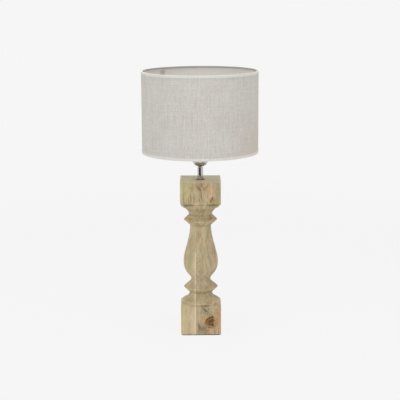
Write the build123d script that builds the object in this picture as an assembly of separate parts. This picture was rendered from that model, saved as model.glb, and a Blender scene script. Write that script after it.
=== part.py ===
from build123d import *
import os
from math import acos, degrees, sqrt

# Table lamp, in millimetres: a wooden baluster turned between two square blocks carries a
# screw lampholder and a linen drum shade. The origin is the middle of the underside, +Z is
# up and the front faces -Y. Heights named after a feature are above the origin.

# Clearances
film = 0.05  # glued, welded or bolted faces
seat_gap = 0.1  # pieces dropped into a seat
turn_gap = 0.3  # pieces that turn or lift past each other
thread_gap = 0.12  # radial, on a screw thread

# Blocks and turned stem
block_side = 105.0
block_edge_round = 1.8
block_rim_round = 1.2
lower_block_height = 69.0  # up to where its corners are turned away
upper_block_height = 53.0
lower_shoulder_height = 8.0  # fall of the turned shoulder out to the corner
upper_shoulder_height = 6.0  # rise past the ledge, up to the corner
upper_ledge_width = 15.0
upper_ledge_rise = 0.4
collar_step = 0.5  # collar radius below half the block side
lower_collar_height = 1.0
upper_collar_height = 8.2
lower_lip_width = 9.9
upper_lip_width = 7.2
lower_lip_sag = 2.2
upper_lip_sag = 1.0
lower_lip_height = 8.5
upper_lip_height = 5.8
lower_cove_height = 17.5
upper_cove_height = 19.6
lower_cove_sag = 2.2
upper_cove_sag = 2.7
lower_neck_radius = 28.9
upper_neck_radius = 29.7
lower_bead_inset = 8.1  # below half the block side
upper_bead_inset = 9.3
lower_bead_rise = 14.3  # neck to sharp edge
lower_bead_fall = 21.4  # sharp edge to waist
upper_bead_rise = 15.3
upper_bead_fall = 13.5
bead_edge_width = 2.0
bead_edge_depth = 0.6
bead_sweep = 7.5  # reach of the lower bead's straight upper flank
waist_radius = 25.2
waist_sweep = 6.2  # how far the waist runs upright under and over it
waist_rise_sweep = 11.3
belly_inset = 7.2  # below half the block side
belly_height = 47.8  # waist to widest
belly_low_sweep = 31.0
belly_high_sweep = 26.5
throat_radius = 27.3
throat_height = 97.7  # widest to throat
throat_sweep = 38.0

# Holes in the wood
well_clearance = 0.5  # round the washer in it
well_depth = 9.0
well_bevel_width = 4.5
well_bevel_depth = 0.9
rod_clearance = 0.6
tenon_radius = 15.0  # under the stem, in the foot
tenon_length = 14.0
pocket_clearance = 7.0  # round the washer in it
pocket_depth = 24.0
cord_hole_height = 14.0  # above the wood's underside

# Felt under the base
felt_thickness = 2.0
felt_inset = 1.5
felt_corner_round = 4.0

# Threaded rod, nuts and washers
rod_radius = 5.0
rod_bore_radius = 3.5
rod_tail = 3.0  # past the last nut at either end
nut_across_flats = 16.0
nut_height = 3.5
washer_thickness = 1.5
bottom_washer_radius = 17.0
top_washer_margin = 2.8  # past the corners of its nut

# Bushing where the cord enters
bushing_wall = 2.25
bushing_length = 15.0
bushing_bore_radius = 3.75
bushing_flange_width = 3.0
bushing_flange_thickness = 2.2
bushing_flange_round = 0.9

# Neck tube
neck_wall = 2.4
neck_length = 35.0
neck_edge = 0.8

# Lampholder
cap_wall = 2.0
cap_thread_wall = 1.0
cap_collar_wall = 0.7
cap_collar_height = 2.0
cap_skirt_height = 22.8  # straight wall over the dome
cap_thread_length = 8.0
holder_flange_width = 1.5  # past the cap
holder_flange_thickness = 2.0
holder_thread_depth = 0.6
holder_thread_pitch = 3.0
holder_thread_turns = 7
holder_plain_end = 1.5  # plain stretch under and over the thread
holder_wall = 2.0
holder_skirt_step = 1.15  # skirt in the cap over the thread
holder_lip_width = 2.4
holder_lip_thickness = 1.5
core_wall = 3.6
core_flange_thickness = 3.0
core_floor_rise = 3.0  # cup floor over the core's flange
core_root_length = 12.0
core_root_step = 0.65
sleeve_wall = 0.7
sleeve_top_drop = 2.0  # below the core's rim
tongue_width = 6.0
tongue_thickness = 0.6
tongue_foot = 6.0
tongue_ramp = 4.0
tongue_rise = 2.2
tongue_tip = 5.0
terminal_screw_count = 2
terminal_screw_offset = 10.0
terminal_shank_radius = 1.75
terminal_shank_length = 8.0
terminal_head_radius = 3.2
terminal_head_height = 2.4
terminal_slot_width = 0.8
terminal_slot_depth = 1.0

# Ring that holds the shade down
ring_wall = 7.1
ring_height = 8.0
ring_grip_count = 24
ring_grip_radius = 1.3
ring_edge = 0.6

# Shade
shade_diameter = 300.0  # over the linen
shade_height = 210.0
linen_thickness = 0.7
liner_thickness = 0.5
hem_width = 6.8
hem_thickness = 0.6
hem_round = 0.45
hoop_wire_radius = 1.5
seam_width = 15.0
seam_thickness = 0.4
seam_angle = 128.5  # about +Z from +X, behind and to the left
seam_end_gap = 1.0
fitter_margin = 6.5  # past the lampholder's flange
fitter_thickness = 1.5
fitter_hole_clearance = 0.5
fitter_recess = 8.3  # above the shade's lower edge
arm_count = 3
arm_first_angle = 90.0
arm_wire_radius = 1.75
arm_start_gap = 1.0  # outside the lampholder's flange
arm_flat = 15.0  # level run before the arm drops to the hoop
arm_bend_radius = 25.0
arm_slot_gap = 0.4

# Bulb with a 27 mm screw cap
bulb_cap_radius = 13.0
bulb_cap_wall = 0.5
bulb_thread_depth = 0.7
bulb_thread_pitch = 3.63
bulb_thread_turns = 5
bulb_cap_plain = 2.6  # upright rim over the thread
bulb_contact_radius = 4.6
bulb_contact_height = 1.6
bulb_contact_round = 1.0
bulb_insulator_height = 4.1
bulb_insulator_tip = 5.4
globe_radius = 30.0
globe_wall = 1.0
globe_neck_length = 6.0  # inside the cap
globe_height = 51.0  # cap rim to widest
globe_neck_sweep = 15.0
globe_side_sweep = 25.0
globe_shoulder = 1.0

# Radii of the wood and of what stands in it
half_block = block_side / 2
lower_bead_radius = half_block - lower_bead_inset
upper_bead_radius = half_block - upper_bead_inset
belly_radius = half_block - belly_inset
nut_corner = nut_across_flats / sqrt(3)
top_washer_radius = nut_corner + top_washer_margin
well_radius = top_washer_radius + well_clearance
pocket_radius = bottom_washer_radius + pocket_clearance
neck_radius = rod_radius + seat_gap + neck_wall
bushing_radius = bushing_bore_radius + bushing_wall
bushing_flange_radius = bushing_radius + bushing_flange_width

# Heights of the wood's features
wood_bottom = felt_thickness
lower_corner = wood_bottom + lower_block_height
lower_shoulder = lower_corner + lower_shoulder_height
lower_collar = lower_shoulder + lower_collar_height
lower_lip = lower_collar + lower_lip_height
lower_neck = lower_lip + lower_cove_height
lower_bead = lower_neck + lower_bead_rise
waist = lower_bead + lower_bead_fall
belly = waist + belly_height
throat = belly + throat_height
upper_bead = throat + upper_bead_rise
upper_neck = upper_bead + upper_bead_fall
upper_lip = upper_neck + upper_cove_height
upper_collar = upper_lip + upper_lip_height
upper_shoulder = upper_collar + upper_collar_height
upper_ledge = upper_shoulder + upper_ledge_rise
upper_corner = upper_ledge + upper_shoulder_height
wood_top = upper_corner + upper_block_height

# Heights of the stack on the rod
pocket_ceiling = wood_bottom + pocket_depth
bottom_nut_top = pocket_ceiling - washer_thickness
bottom_nut_bottom = bottom_nut_top - nut_height
rod_bottom = bottom_nut_bottom - rod_tail
well_floor = wood_top - well_depth
top_nut_bottom = well_floor + washer_thickness
neck_bottom = top_nut_bottom + nut_height
neck_top = neck_bottom + neck_length

# Radii of the lampholder, from the bulb outwards
sleeve_inner_radius = bulb_cap_radius + turn_gap
sleeve_radius = sleeve_inner_radius + sleeve_wall
core_inner_radius = sleeve_radius + film
core_radius = core_inner_radius + core_wall
core_root_radius = core_radius - core_root_step
holder_inner_radius = core_radius + seat_gap
holder_thread_radius = holder_inner_radius + holder_wall
holder_skirt_radius = holder_thread_radius + holder_skirt_step
cap_thread_radius = holder_skirt_radius + seat_gap
cap_radius = cap_thread_radius + cap_thread_wall
cap_inner_radius = cap_radius - cap_wall
cap_collar_radius = rod_radius + film + cap_collar_wall
holder_flange_radius = cap_radius + holder_flange_width
ring_radius = holder_thread_radius + thread_gap + ring_wall

# Heights of the lampholder
dome_bottom = neck_top + cap_collar_height
dome_centre = dome_bottom + sqrt(cap_radius**2 - cap_collar_radius**2)
cap_floor_radius = nut_corner + seat_gap
cap_floor = dome_centre - sqrt(cap_inner_radius**2 - cap_floor_radius**2)
cap_nut_top = cap_floor + nut_height
rod_top = cap_nut_top + rod_tail
cap_rim = dome_centre + cap_skirt_height
cap_ledge = cap_rim - cap_thread_length
holder_flange_top = cap_rim + holder_flange_thickness
holder_thread_length = holder_thread_pitch * holder_thread_turns
holder_top = holder_flange_top + holder_thread_length + 2 * holder_plain_end
core_flange_top = cap_ledge + core_flange_thickness
core_floor = core_flange_top + core_floor_rise
core_bottom = cap_ledge - core_root_length
core_top = holder_top - holder_lip_thickness - seat_gap
tongue_top = core_floor + tongue_rise + tongue_thickness

# Heights and radii of the shade
fitter_bottom = holder_flange_top + turn_gap
fitter_top = fitter_bottom + fitter_thickness
fitter_hole_radius = holder_thread_radius + fitter_hole_clearance
fitter_radius = holder_flange_radius + fitter_margin
ring_bottom = fitter_top + turn_gap
shade_radius = shade_diameter / 2
shade_bottom = fitter_bottom - fitter_recess
shade_top = shade_bottom + shade_height
liner_radius = shade_radius - linen_thickness - film
liner_inner_radius = liner_radius - liner_thickness
hoop_radius = liner_inner_radius - film - hoop_wire_radius
hoop_inner_radius = hoop_radius - hoop_wire_radius
hoop_inset = hem_thickness + film + hoop_wire_radius  # from the shade's edge
hem_outer_radius = shade_radius + film + hem_thickness
hem_inner_radius = hoop_inner_radius - film - hem_thickness

# Heights of the bulb
bulb_bottom = tongue_top + turn_gap
insulator_bottom = bulb_bottom + bulb_contact_height
bulb_cap_bottom = insulator_bottom + bulb_insulator_height
bulb_thread_top = bulb_cap_bottom + bulb_thread_pitch * bulb_thread_turns
bulb_cap_top = bulb_thread_top + bulb_cap_plain
bulb_cap_inner_radius = bulb_cap_radius - bulb_thread_depth - bulb_cap_wall
globe_neck_radius = bulb_cap_inner_radius - film
globe_centre = bulb_cap_top + globe_height

upright = (Align.CENTER, Align.CENTER, Align.MIN)


def turned(edges):
    """Solid of revolution about Z of a closed outline of (radius, height) edges."""
    return revolve(Plane.XZ * make_face(edges), Axis.Z)


def rod(radius, bottom, top):
    """Round bar about Z between two heights."""
    return Pos(0, 0, bottom) * Cylinder(radius, top - bottom, align=upright)


def tube(radius, bore, bottom, top):
    """Round tube about Z between two heights."""
    return rod(radius, bottom, top) - rod(bore, bottom, top)


def hex_nut(bottom):
    """Hexagon nut on the threaded rod."""
    hexagon = RegularPolygon(nut_across_flats / 2, 6, major_radius=False)
    blank = Pos(0, 0, bottom) * extrude(hexagon, nut_height)
    return blank - rod(rod_radius + film, bottom, bottom + nut_height)


def square_block(side, edge_round, bottom, top):
    """Square bar about Z with its upright edges rounded."""
    outline = RectangleRounded(side, side, edge_round)
    return Pos(0, 0, bottom) * extrude(outline, top - bottom)


def stem_outline():
    """Outline of the turned stem, running out past the corners of both blocks."""
    corner = block_side / sqrt(2)
    collar = half_block - collar_step
    ledge = collar + upper_ledge_width
    low_lip = collar - lower_lip_width
    high_lip = collar - upper_lip_width
    half_edge = bead_edge_width / 2
    low_tip = lower_bead_radius - bead_edge_depth
    high_tip = upper_bead_radius - bead_edge_depth
    return [
        Line((0, wood_bottom), (corner, wood_bottom)),
        Line((corner, wood_bottom), (corner, lower_corner)),
        Line((corner, lower_corner), (collar, lower_shoulder)),
        Line((collar, lower_shoulder), (collar, lower_collar)),
        SagittaArc((collar, lower_collar), (low_lip, lower_lip), -lower_lip_sag),
        SagittaArc((low_lip, lower_lip), (lower_neck_radius, lower_neck), lower_cove_sag),
        Line((lower_neck_radius, lower_neck), (low_tip, lower_bead - half_edge)),
        ThreePointArc(
            (low_tip, lower_bead - half_edge),
            (lower_bead_radius, lower_bead),
            (low_tip, lower_bead + half_edge),
        ),
        Bezier(
            (low_tip, lower_bead + half_edge),
            (low_tip - bead_sweep, lower_bead + half_edge + bead_sweep),
            (waist_radius, waist - waist_sweep),
            (waist_radius, waist),
        ),
        Bezier(
            (waist_radius, waist),
            (waist_radius, waist + waist_rise_sweep),
            (belly_radius, belly - belly_low_sweep),
            (belly_radius, belly),
        ),
        Bezier(
            (belly_radius, belly),
            (belly_radius, belly + belly_high_sweep),
            (throat_radius, throat - throat_sweep),
            (throat_radius, throat),
        ),
        Line((throat_radius, throat), (high_tip, upper_bead - half_edge)),
        ThreePointArc(
            (high_tip, upper_bead - half_edge),
            (upper_bead_radius, upper_bead),
            (high_tip, upper_bead + half_edge),
        ),
        Line((high_tip, upper_bead + half_edge), (upper_neck_radius, upper_neck)),
        SagittaArc((upper_neck_radius, upper_neck), (high_lip, upper_lip), upper_cove_sag),
        SagittaArc((high_lip, upper_lip), (collar, upper_collar), -upper_lip_sag),
        Line((collar, upper_collar), (collar, upper_shoulder)),
        Line((collar, upper_shoulder), (ledge, upper_ledge)),
        Line((ledge, upper_ledge), (corner, upper_corner)),
        Line((corner, upper_corner), (corner, wood_top)),
        Line((corner, wood_top), (0, wood_top)),
        Line((0, wood_top), (0, wood_bottom)),
    ]


def wood_blank():
    """Turned stem with its blocks, rod bore, top well, underside pocket and cord hole."""
    block = square_block(block_side, block_edge_round, wood_bottom, wood_top)
    rims = block.edges().group_by(Axis.Z)[0] + block.edges().group_by(Axis.Z)[-1]
    block = fillet(rims, block_rim_round)
    wood = block & turned(stem_outline())
    wood -= rod(rod_radius + rod_clearance, wood_bottom, wood_top)
    wood -= rod(pocket_radius, wood_bottom, pocket_ceiling)
    wood -= rod(well_radius, well_floor, wood_top)
    bevel = Cone(well_radius, well_radius + well_bevel_width, well_bevel_depth, align=upright)
    wood -= Pos(0, 0, wood_top - well_bevel_depth) * bevel
    hole_height = wood_bottom + cord_hole_height
    cord_hole = Cylinder(bushing_radius + seat_gap, half_block, align=upright)
    wood -= Pos(0, 0, hole_height) * Rot(-90, 0, 0) * cord_hole
    return wood


def foot_block():
    """Square foot up to the joint at the lower neck, with a socket for the stem."""
    foot = split(wood_blank(), Plane.XY.offset(lower_neck), keep=Keep.BOTTOM)
    return foot - rod(tenon_radius + seat_gap, lower_neck - tenon_length - seat_gap, lower_neck)


def baluster():
    """Turned stem with the upper block, and a tenon that stands in the foot."""
    stem = split(wood_blank(), Plane.XY.offset(lower_neck), keep=Keep.TOP)
    tenon = tube(tenon_radius, rod_radius + rod_clearance, lower_neck - tenon_length, lower_neck)
    return stem + tenon


def base_felt():
    """Felt square that covers the pocket and stands on the table."""
    return square_block(block_side - 2 * felt_inset, felt_corner_round, 0, felt_thickness)


def threaded_rod():
    """Hollow rod that clamps the wood and carries the lampholder."""
    return tube(rod_radius, rod_bore_radius, rod_bottom, rod_top)


def bottom_washer():
    """Washer against the ceiling of the underside pocket."""
    bore = rod_radius + seat_gap
    return tube(bottom_washer_radius, bore, bottom_nut_top, pocket_ceiling)


def top_washer():
    """Washer on the floor of the well."""
    return tube(top_washer_radius, rod_radius + seat_gap, well_floor, top_nut_bottom)


def cord_bushing():
    """Flanged bushing in the rear cord hole."""
    flange_end = bushing_length + bushing_flange_thickness
    blank = rod(bushing_radius, 0, bushing_length)
    flange = rod(bushing_flange_radius, bushing_length, flange_end)
    flange = fillet(flange.edges().group_by(Axis.Z)[-1], bushing_flange_round)
    bushing = blank + flange - rod(bushing_bore_radius, 0, flange_end)
    rear = half_block - bushing_length
    return Pos(0, rear, wood_bottom + cord_hole_height) * Rot(-90, 0, 0) * bushing


def neck_tube():
    """Plated spacer tube between the wood and the lampholder."""
    neck = rod(neck_radius, neck_bottom, neck_top)
    neck = chamfer(neck.edges().group_by(Axis.Z)[-1], neck_edge)
    return neck - rod(rod_radius + seat_gap, neck_bottom, neck_top)


def holder_cap():
    """Domed lower cup of the lampholder, with a ledge for the core inside."""
    bore = rod_radius + film
    outer_turn = degrees(acos(cap_collar_radius / cap_radius))
    inner_turn = degrees(acos(cap_floor_radius / cap_inner_radius))
    centre = (0, dome_centre)
    return turned(
        [
            Line((bore, neck_top), (cap_collar_radius, neck_top)),
            Line((cap_collar_radius, neck_top), (cap_collar_radius, dome_bottom)),
            CenterArc(centre, cap_radius, -outer_turn, outer_turn),
            Line((cap_radius, dome_centre), (cap_radius, cap_rim)),
            Line((cap_radius, cap_rim), (cap_thread_radius, cap_rim)),
            Line((cap_thread_radius, cap_rim), (cap_thread_radius, cap_ledge)),
            Line((cap_thread_radius, cap_ledge), (cap_inner_radius, cap_ledge)),
            Line((cap_inner_radius, cap_ledge), (cap_inner_radius, dome_centre)),
            CenterArc(centre, cap_inner_radius, -inner_turn, inner_turn),
            Line((cap_floor_radius, cap_floor), (bore, cap_floor)),
            Line((bore, cap_floor), (bore, neck_top)),
        ]
    )


def holder_shell():
    """Threaded upper sleeve of the lampholder, with the flange that the shade sits on."""
    root = holder_thread_radius - holder_thread_depth
    lip = holder_inner_radius - holder_lip_width
    lip_bottom = holder_top - holder_lip_thickness
    points = [
        (holder_inner_radius, core_flange_top),
        (holder_skirt_radius, core_flange_top),
        (holder_skirt_radius, cap_rim),
        (holder_flange_radius, cap_rim),
        (holder_flange_radius, holder_flange_top),
        (holder_thread_radius, holder_flange_top),
    ]
    thread_bottom = holder_flange_top + holder_plain_end
    for turn in range(holder_thread_turns):
        groove = thread_bottom + turn * holder_thread_pitch
        points.append((holder_thread_radius, groove))
        points.append((root, groove + holder_thread_pitch / 2))
    points.append((holder_thread_radius, thread_bottom + holder_thread_length))
    points += [
        (holder_thread_radius, holder_top),
        (lip, holder_top),
        (lip, lip_bottom),
        (holder_inner_radius, lip_bottom),
    ]
    return turned([Polyline(points, close=True)])


def screw_places():
    """Places of the terminal screws on the underside of the core."""
    return PolarLocations(terminal_screw_offset, terminal_screw_count)


def holder_core():
    """Ceramic cup that insulates the contacts."""
    core = rod(core_root_radius, core_bottom, cap_ledge)
    core += rod(holder_skirt_radius, cap_ledge, core_flange_top)
    core += rod(core_radius, core_flange_top, core_top)
    core -= rod(core_inner_radius, core_floor, core_top)
    hole = rod(terminal_shank_radius + film, core_bottom, core_bottom + terminal_shank_length)
    for place in screw_places():
        core -= place * hole
    return core


def contact_sleeve():
    """Brass sleeve that takes the bulb's thread."""
    top = core_top - sleeve_top_drop
    return tube(sleeve_radius, sleeve_inner_radius, core_floor, top)


def centre_contact():
    """Sprung brass tongue under the tip of the bulb."""
    foot_end = -tongue_ramp
    foot_start = foot_end - tongue_foot
    top = core_floor + tongue_rise
    under = [(foot_start, core_floor), (foot_end, core_floor), (0, top), (tongue_tip, top)]
    over = [(x, z + tongue_thickness) for x, z in reversed(under)]
    strip = Plane.XZ * make_face([Polyline(under + over, close=True)])
    return extrude(strip, tongue_width / 2, both=True)


def terminal_screws():
    """Slotted screws that clamp the wires under the core."""
    head_bottom = core_bottom - terminal_head_height
    screw = rod(terminal_shank_radius, core_bottom, core_bottom + terminal_shank_length)
    screw += rod(terminal_head_radius, head_bottom, core_bottom)
    slot = Box(2 * terminal_head_radius, terminal_slot_width, terminal_slot_depth, align=upright)
    screw -= Pos(0, 0, head_bottom) * slot
    return Compound([place * screw for place in screw_places()])


def shade_ring():
    """Threaded ring with grips that holds the shade on the lampholder."""
    ring_top = ring_bottom + ring_height
    ring = rod(ring_radius, ring_bottom, ring_top)
    ring = chamfer(ring.edges().group_by(Axis.Z)[-1], ring_edge)
    ring -= rod(holder_thread_radius + thread_gap, ring_bottom, ring_top)
    grip = rod(ring_grip_radius, ring_bottom, ring_top)
    for place in PolarLocations(ring_radius, ring_grip_count):
        ring -= place * grip
    return ring


def drum(radius, thickness):
    """Plain shade wall between the folds of the two hems."""
    inset = hem_thickness + film
    return tube(radius, radius - thickness, shade_bottom + inset, shade_top - inset)


def hem_section():
    """Folded tape in (radius, height), closed side up and level with zero."""
    width = hem_outer_radius - hem_inner_radius
    middle = (hem_outer_radius + hem_inner_radius) / 2
    fold = Pos(middle, -hem_width / 2) * Rectangle(width, hem_width)
    fold = fillet(fold.vertices().group_by(Axis.Y)[-1], hem_round)
    inside = Pos(middle, -hem_width / 2 - hem_thickness) * Rectangle(width - 2 * hem_thickness, hem_width)
    return fold - inside


def top_hem():
    """Tape folded over the upper edge and hoop."""
    return Pos(0, 0, shade_top) * revolve(Plane.XZ * hem_section(), Axis.Z)


def arm_angles():
    """Directions of the arms about Z, in degrees."""
    return [arm_first_angle + 360 / arm_count * arm for arm in range(arm_count)]


def bottom_hem():
    """Tape folded over the lower edge and hoop, slit where each arm comes in."""
    hem = revolve(Plane.XZ * mirror(hem_section(), Plane.XZ), Axis.Z)
    hem = Pos(0, 0, shade_bottom) * hem
    slit_width = 2 * (arm_wire_radius + arm_slot_gap)
    slit_depth = hem_thickness + 2 * arm_slot_gap
    slit = Box(slit_depth, slit_width, hem_width, align=(Align.MIN, Align.CENTER, Align.MIN))
    slit_place = Pos(hem_inner_radius - arm_slot_gap, 0, shade_bottom + hem_thickness)
    for angle in arm_angles():
        hem -= Rot(0, 0, angle) * slit_place * slit
    return hem


def hoop(height):
    """Wire hoop inside a hem."""
    return Pos(0, 0, height) * Torus(hoop_radius, hoop_wire_radius)


def seam_tape():
    """Strip glued inside over the joint of the drum."""
    outer = liner_inner_radius - film
    bottom = shade_bottom + hem_width + seam_end_gap
    top = shade_top - hem_width - seam_end_gap
    section = Pos(outer - seam_thickness / 2, (bottom + top) / 2) * Rectangle(seam_thickness, top - bottom)
    span = degrees(seam_width / outer)
    return Rot(0, 0, seam_angle) * revolve(Plane.XZ * section, Axis.Z, span)


def fitter_ring():
    """Flat ring that seats on the lampholder's flange."""
    return tube(fitter_radius, fitter_hole_radius, fitter_bottom, fitter_top)


def spider_arms():
    """Wires from under the fitter ring out to the lower hoop."""
    start = holder_flange_radius + arm_start_gap
    level = fitter_bottom - film - arm_wire_radius
    end = shade_bottom + hem_thickness + seat_gap + arm_wire_radius
    path = FilletPolyline(
        (start, 0, level),
        (start + arm_flat, 0, level),
        (hoop_inner_radius - film, 0, end),
        radius=arm_bend_radius,
    )
    section = Plane(origin=path @ 0, z_dir=path % 0) * Circle(arm_wire_radius)
    arm = sweep(section, path)
    return Compound([Rot(0, 0, angle) * arm for angle in arm_angles()])


def bulb_contact():
    """Solder tip of the bulb."""
    tip = rod(bulb_contact_radius, bulb_bottom, insulator_bottom)
    return fillet(tip.edges().group_by(Axis.Z)[0], bulb_contact_round)


def bulb_insulator():
    """Dark glass cone between the bulb's tip and its threaded cap."""
    rim = bulb_cap_radius - bulb_thread_depth
    cone = Cone(bulb_insulator_tip, rim, bulb_insulator_height, align=upright)
    return Pos(0, 0, insulator_bottom) * cone


def bulb_cap():
    """Threaded metal cap of the bulb."""
    root = bulb_cap_radius - bulb_thread_depth
    half = bulb_thread_pitch / 2
    edges = [Line((bulb_cap_inner_radius, bulb_cap_bottom), (root, bulb_cap_bottom))]
    for turn in range(bulb_thread_turns):
        low = bulb_cap_bottom + turn * bulb_thread_pitch
        crest = (bulb_cap_radius, low + half)
        edges.append(ThreePointArc((root, low), crest, (root, low + bulb_thread_pitch)))
    edges += [
        Line((root, bulb_thread_top), (bulb_cap_radius, bulb_cap_top)),
        Line((bulb_cap_radius, bulb_cap_top), (bulb_cap_inner_radius, bulb_cap_top)),
        Line((bulb_cap_inner_radius, bulb_cap_top), (bulb_cap_inner_radius, bulb_cap_bottom)),
    ]
    return turned(edges)


def globe_body(inset):
    """Solid pear of the globe, drawn in by inset all round."""
    neck = globe_neck_radius - inset
    side = globe_radius - inset
    neck_bottom_height = bulb_cap_top - globe_neck_length
    shoulder = bulb_cap_top + globe_shoulder
    return turned(
        [
            Line((0, neck_bottom_height), (neck, neck_bottom_height)),
            Line((neck, neck_bottom_height), (neck, shoulder)),
            Bezier(
                (neck, shoulder),
                (neck, shoulder + globe_neck_sweep),
                (side, globe_centre - globe_side_sweep),
                (side, globe_centre),
            ),
            CenterArc((0, globe_centre), side, 0, 90),
            Line((0, globe_centre + side), (0, neck_bottom_height)),
        ]
    )


def bulb_globe():
    """Hollow glass globe seated in the cap."""
    return globe_body(0) - globe_body(globe_wall)


nodes = {
    "foot_block": foot_block(),
    "baluster": baluster(),
    "base_felt": base_felt(),
    "threaded_rod": threaded_rod(),
    "bottom_washer": bottom_washer(),
    "bottom_nut": hex_nut(bottom_nut_bottom),
    "top_washer": top_washer(),
    "top_nut": hex_nut(top_nut_bottom),
    "cord_bushing": cord_bushing(),
    "neck_tube": neck_tube(),
    "holder_cap": holder_cap(),
    "cap_nut": hex_nut(cap_floor),
    "holder_shell": holder_shell(),
    "holder_core": holder_core(),
    "contact_sleeve": contact_sleeve(),
    "centre_contact": centre_contact(),
    "terminal_screws": terminal_screws(),
    "shade_ring": shade_ring(),
    "shade_linen": drum(shade_radius, linen_thickness),
    "shade_liner": drum(liner_radius, liner_thickness),
    "seam_tape": seam_tape(),
    "top_hem": top_hem(),
    "bottom_hem": bottom_hem(),
    "top_hoop": hoop(shade_top - hoop_inset),
    "bottom_hoop": hoop(shade_bottom + hoop_inset),
    "fitter_ring": fitter_ring(),
    "spider_arms": spider_arms(),
    "bulb_globe": bulb_globe(),
    "bulb_cap": bulb_cap(),
    "bulb_insulator": bulb_insulator(),
    "bulb_contact": bulb_contact(),
}

os.makedirs("parts", exist_ok=True)
for name, solid in nodes.items():
    export_step(solid, f"parts/{name}.step")
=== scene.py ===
import logging
import math
from dataclasses import dataclass, replace
from enum import Enum
from typing import Any, Callable, ClassVar, Sequence, Union

import bpy
from mathutils import Matrix, Vector


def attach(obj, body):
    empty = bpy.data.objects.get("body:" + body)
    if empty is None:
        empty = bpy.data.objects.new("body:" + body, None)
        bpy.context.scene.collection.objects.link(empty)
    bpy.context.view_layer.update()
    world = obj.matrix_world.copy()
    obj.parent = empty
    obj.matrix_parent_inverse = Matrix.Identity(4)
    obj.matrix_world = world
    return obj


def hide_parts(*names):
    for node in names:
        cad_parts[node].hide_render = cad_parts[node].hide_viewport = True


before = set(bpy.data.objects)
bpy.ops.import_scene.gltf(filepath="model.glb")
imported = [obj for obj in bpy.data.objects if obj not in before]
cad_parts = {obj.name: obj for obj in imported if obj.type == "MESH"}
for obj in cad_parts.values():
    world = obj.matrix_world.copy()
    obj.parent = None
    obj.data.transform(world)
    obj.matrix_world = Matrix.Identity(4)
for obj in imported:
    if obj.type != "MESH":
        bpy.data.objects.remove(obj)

log = logging.getLogger("table_lamp")

Colour = tuple[float, float, float, float]
Point = tuple[float, float, float]
Span = tuple[float, float]
Wave = tuple[float, float, float]
Loop = list[Point]
Section = list[tuple[float, float]]

MM = 0.001
NOISE_MEAN = 0.5
SCREEN_KNEE = 0.04045
SCREEN_SLOPE = 12.92
SCREEN_OFFSET = 0.055
SCREEN_POWER = 2.4


def tint(red: float, green: float, blue: float) -> Colour:
    """Turns a screen colour into the linear one that shaders use.

    Args:
        red: Red from 0 to 255.
        green: Green from 0 to 255.
        blue: Blue from 0 to 255.

    Returns:
        The linear colour with full alpha.
    """
    linear = []
    for value in (red / 255, green / 255, blue / 255):
        curve = ((value + SCREEN_OFFSET) / (1 + SCREEN_OFFSET)) ** SCREEN_POWER
        linear.append(value / SCREEN_SLOPE if value <= SCREEN_KNEE else curve)
    return (linear[0], linear[1], linear[2], 1.0)


def ease(value: float, low: float, high: float) -> float:
    """Rises smoothly from 0 at low to 1 at high, or falls where low is greater.

    Args:
        value: Where to read the curve.
        low: Where it is 0.
        high: Where it is 1.

    Returns:
        The height of the curve, from 0 to 1.
    """
    share = min(1.0, max(0.0, (value - low) / (high - low)))
    return share * share * (3 - 2 * share)


def ripple(place: float, waves: Sequence[Wave]) -> float:
    """Adds up waves round 1, each given by its size, its rate and its start."""
    return 1 + sum(size * math.sin(rate * place + start) for size, rate, start in waves)


def polar(radius: float, turn: float, height: float) -> Point:
    """Finds the point at a distance from the lamp's axis, an angle in radians and a height."""
    return (radius * math.cos(turn), radius * math.sin(turn), height)


def math_node(operation: str, flipped: bool = False) -> Callable[..., "Signal"]:
    """Makes a method of a signal that adds one Math node.

    Args:
        operation: Blender's name of the operation.
        flipped: Whether the signal comes last, as in 1 - mask.

    Returns:
        The method, which takes the other operands.
    """

    def method(self: "Signal", *others: "Operand") -> "Signal":
        """Adds the node and hands back its output."""
        operands = (*others, self) if flipped else (self, *others)
        return self.graph.node("Math", {"operation": operation}, dict(enumerate(operands)))

    return method


class Signal:
    """Output socket of a shader node, with arithmetic that adds Math nodes."""

    __add__ = math_node("ADD")
    __radd__ = math_node("ADD", flipped=True)
    __sub__ = math_node("SUBTRACT")
    __rsub__ = math_node("SUBTRACT", flipped=True)
    __mul__ = math_node("MULTIPLY")
    __rmul__ = math_node("MULTIPLY", flipped=True)
    __truediv__ = math_node("DIVIDE")
    __rtruediv__ = math_node("DIVIDE", flipped=True)
    __pow__ = math_node("POWER")
    __rpow__ = math_node("POWER", flipped=True)
    __gt__ = math_node("GREATER_THAN")
    __lt__ = math_node("LESS_THAN")
    __abs__ = math_node("ABSOLUTE")
    sin = math_node("SINE")
    root = math_node("SQRT")
    floor = math_node("FLOOR")
    least = math_node("MINIMUM")
    most = math_node("MAXIMUM")
    angle_to = math_node("ARCTAN2")

    def __init__(self, graph: "Graph", socket: bpy.types.NodeSocket) -> None:
        """Keeps the socket and the graph that it belongs to."""
        self.graph = graph
        self.socket = socket

    def ramp(self, low: float, high: float, top: float = 1.0) -> "Signal":
        """Rises smoothly from 0 at low to the top at high, or falls where low is greater.

        Args:
            low: Value that gives 0.
            high: Value that gives the top.
            top: Value at and beyond high.

        Returns:
            The value, kept between 0 and the top.
        """
        settings = {"interpolation_type": "SMOOTHSTEP", "clamp": False}
        inputs = {"Value": self, "From Min": low, "From Max": high, "To Min": 0.0, "To Max": top}
        if low > high:
            inputs.update({"From Min": high, "From Max": low, "To Min": top, "To Max": 0.0})
        return self.graph.node("MapRange", settings, inputs)


Operand = Union[Signal, float, int]
Value = Union[Signal, float, int, Sequence[float]]
Spot = tuple[Signal, Signal, Signal]


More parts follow.
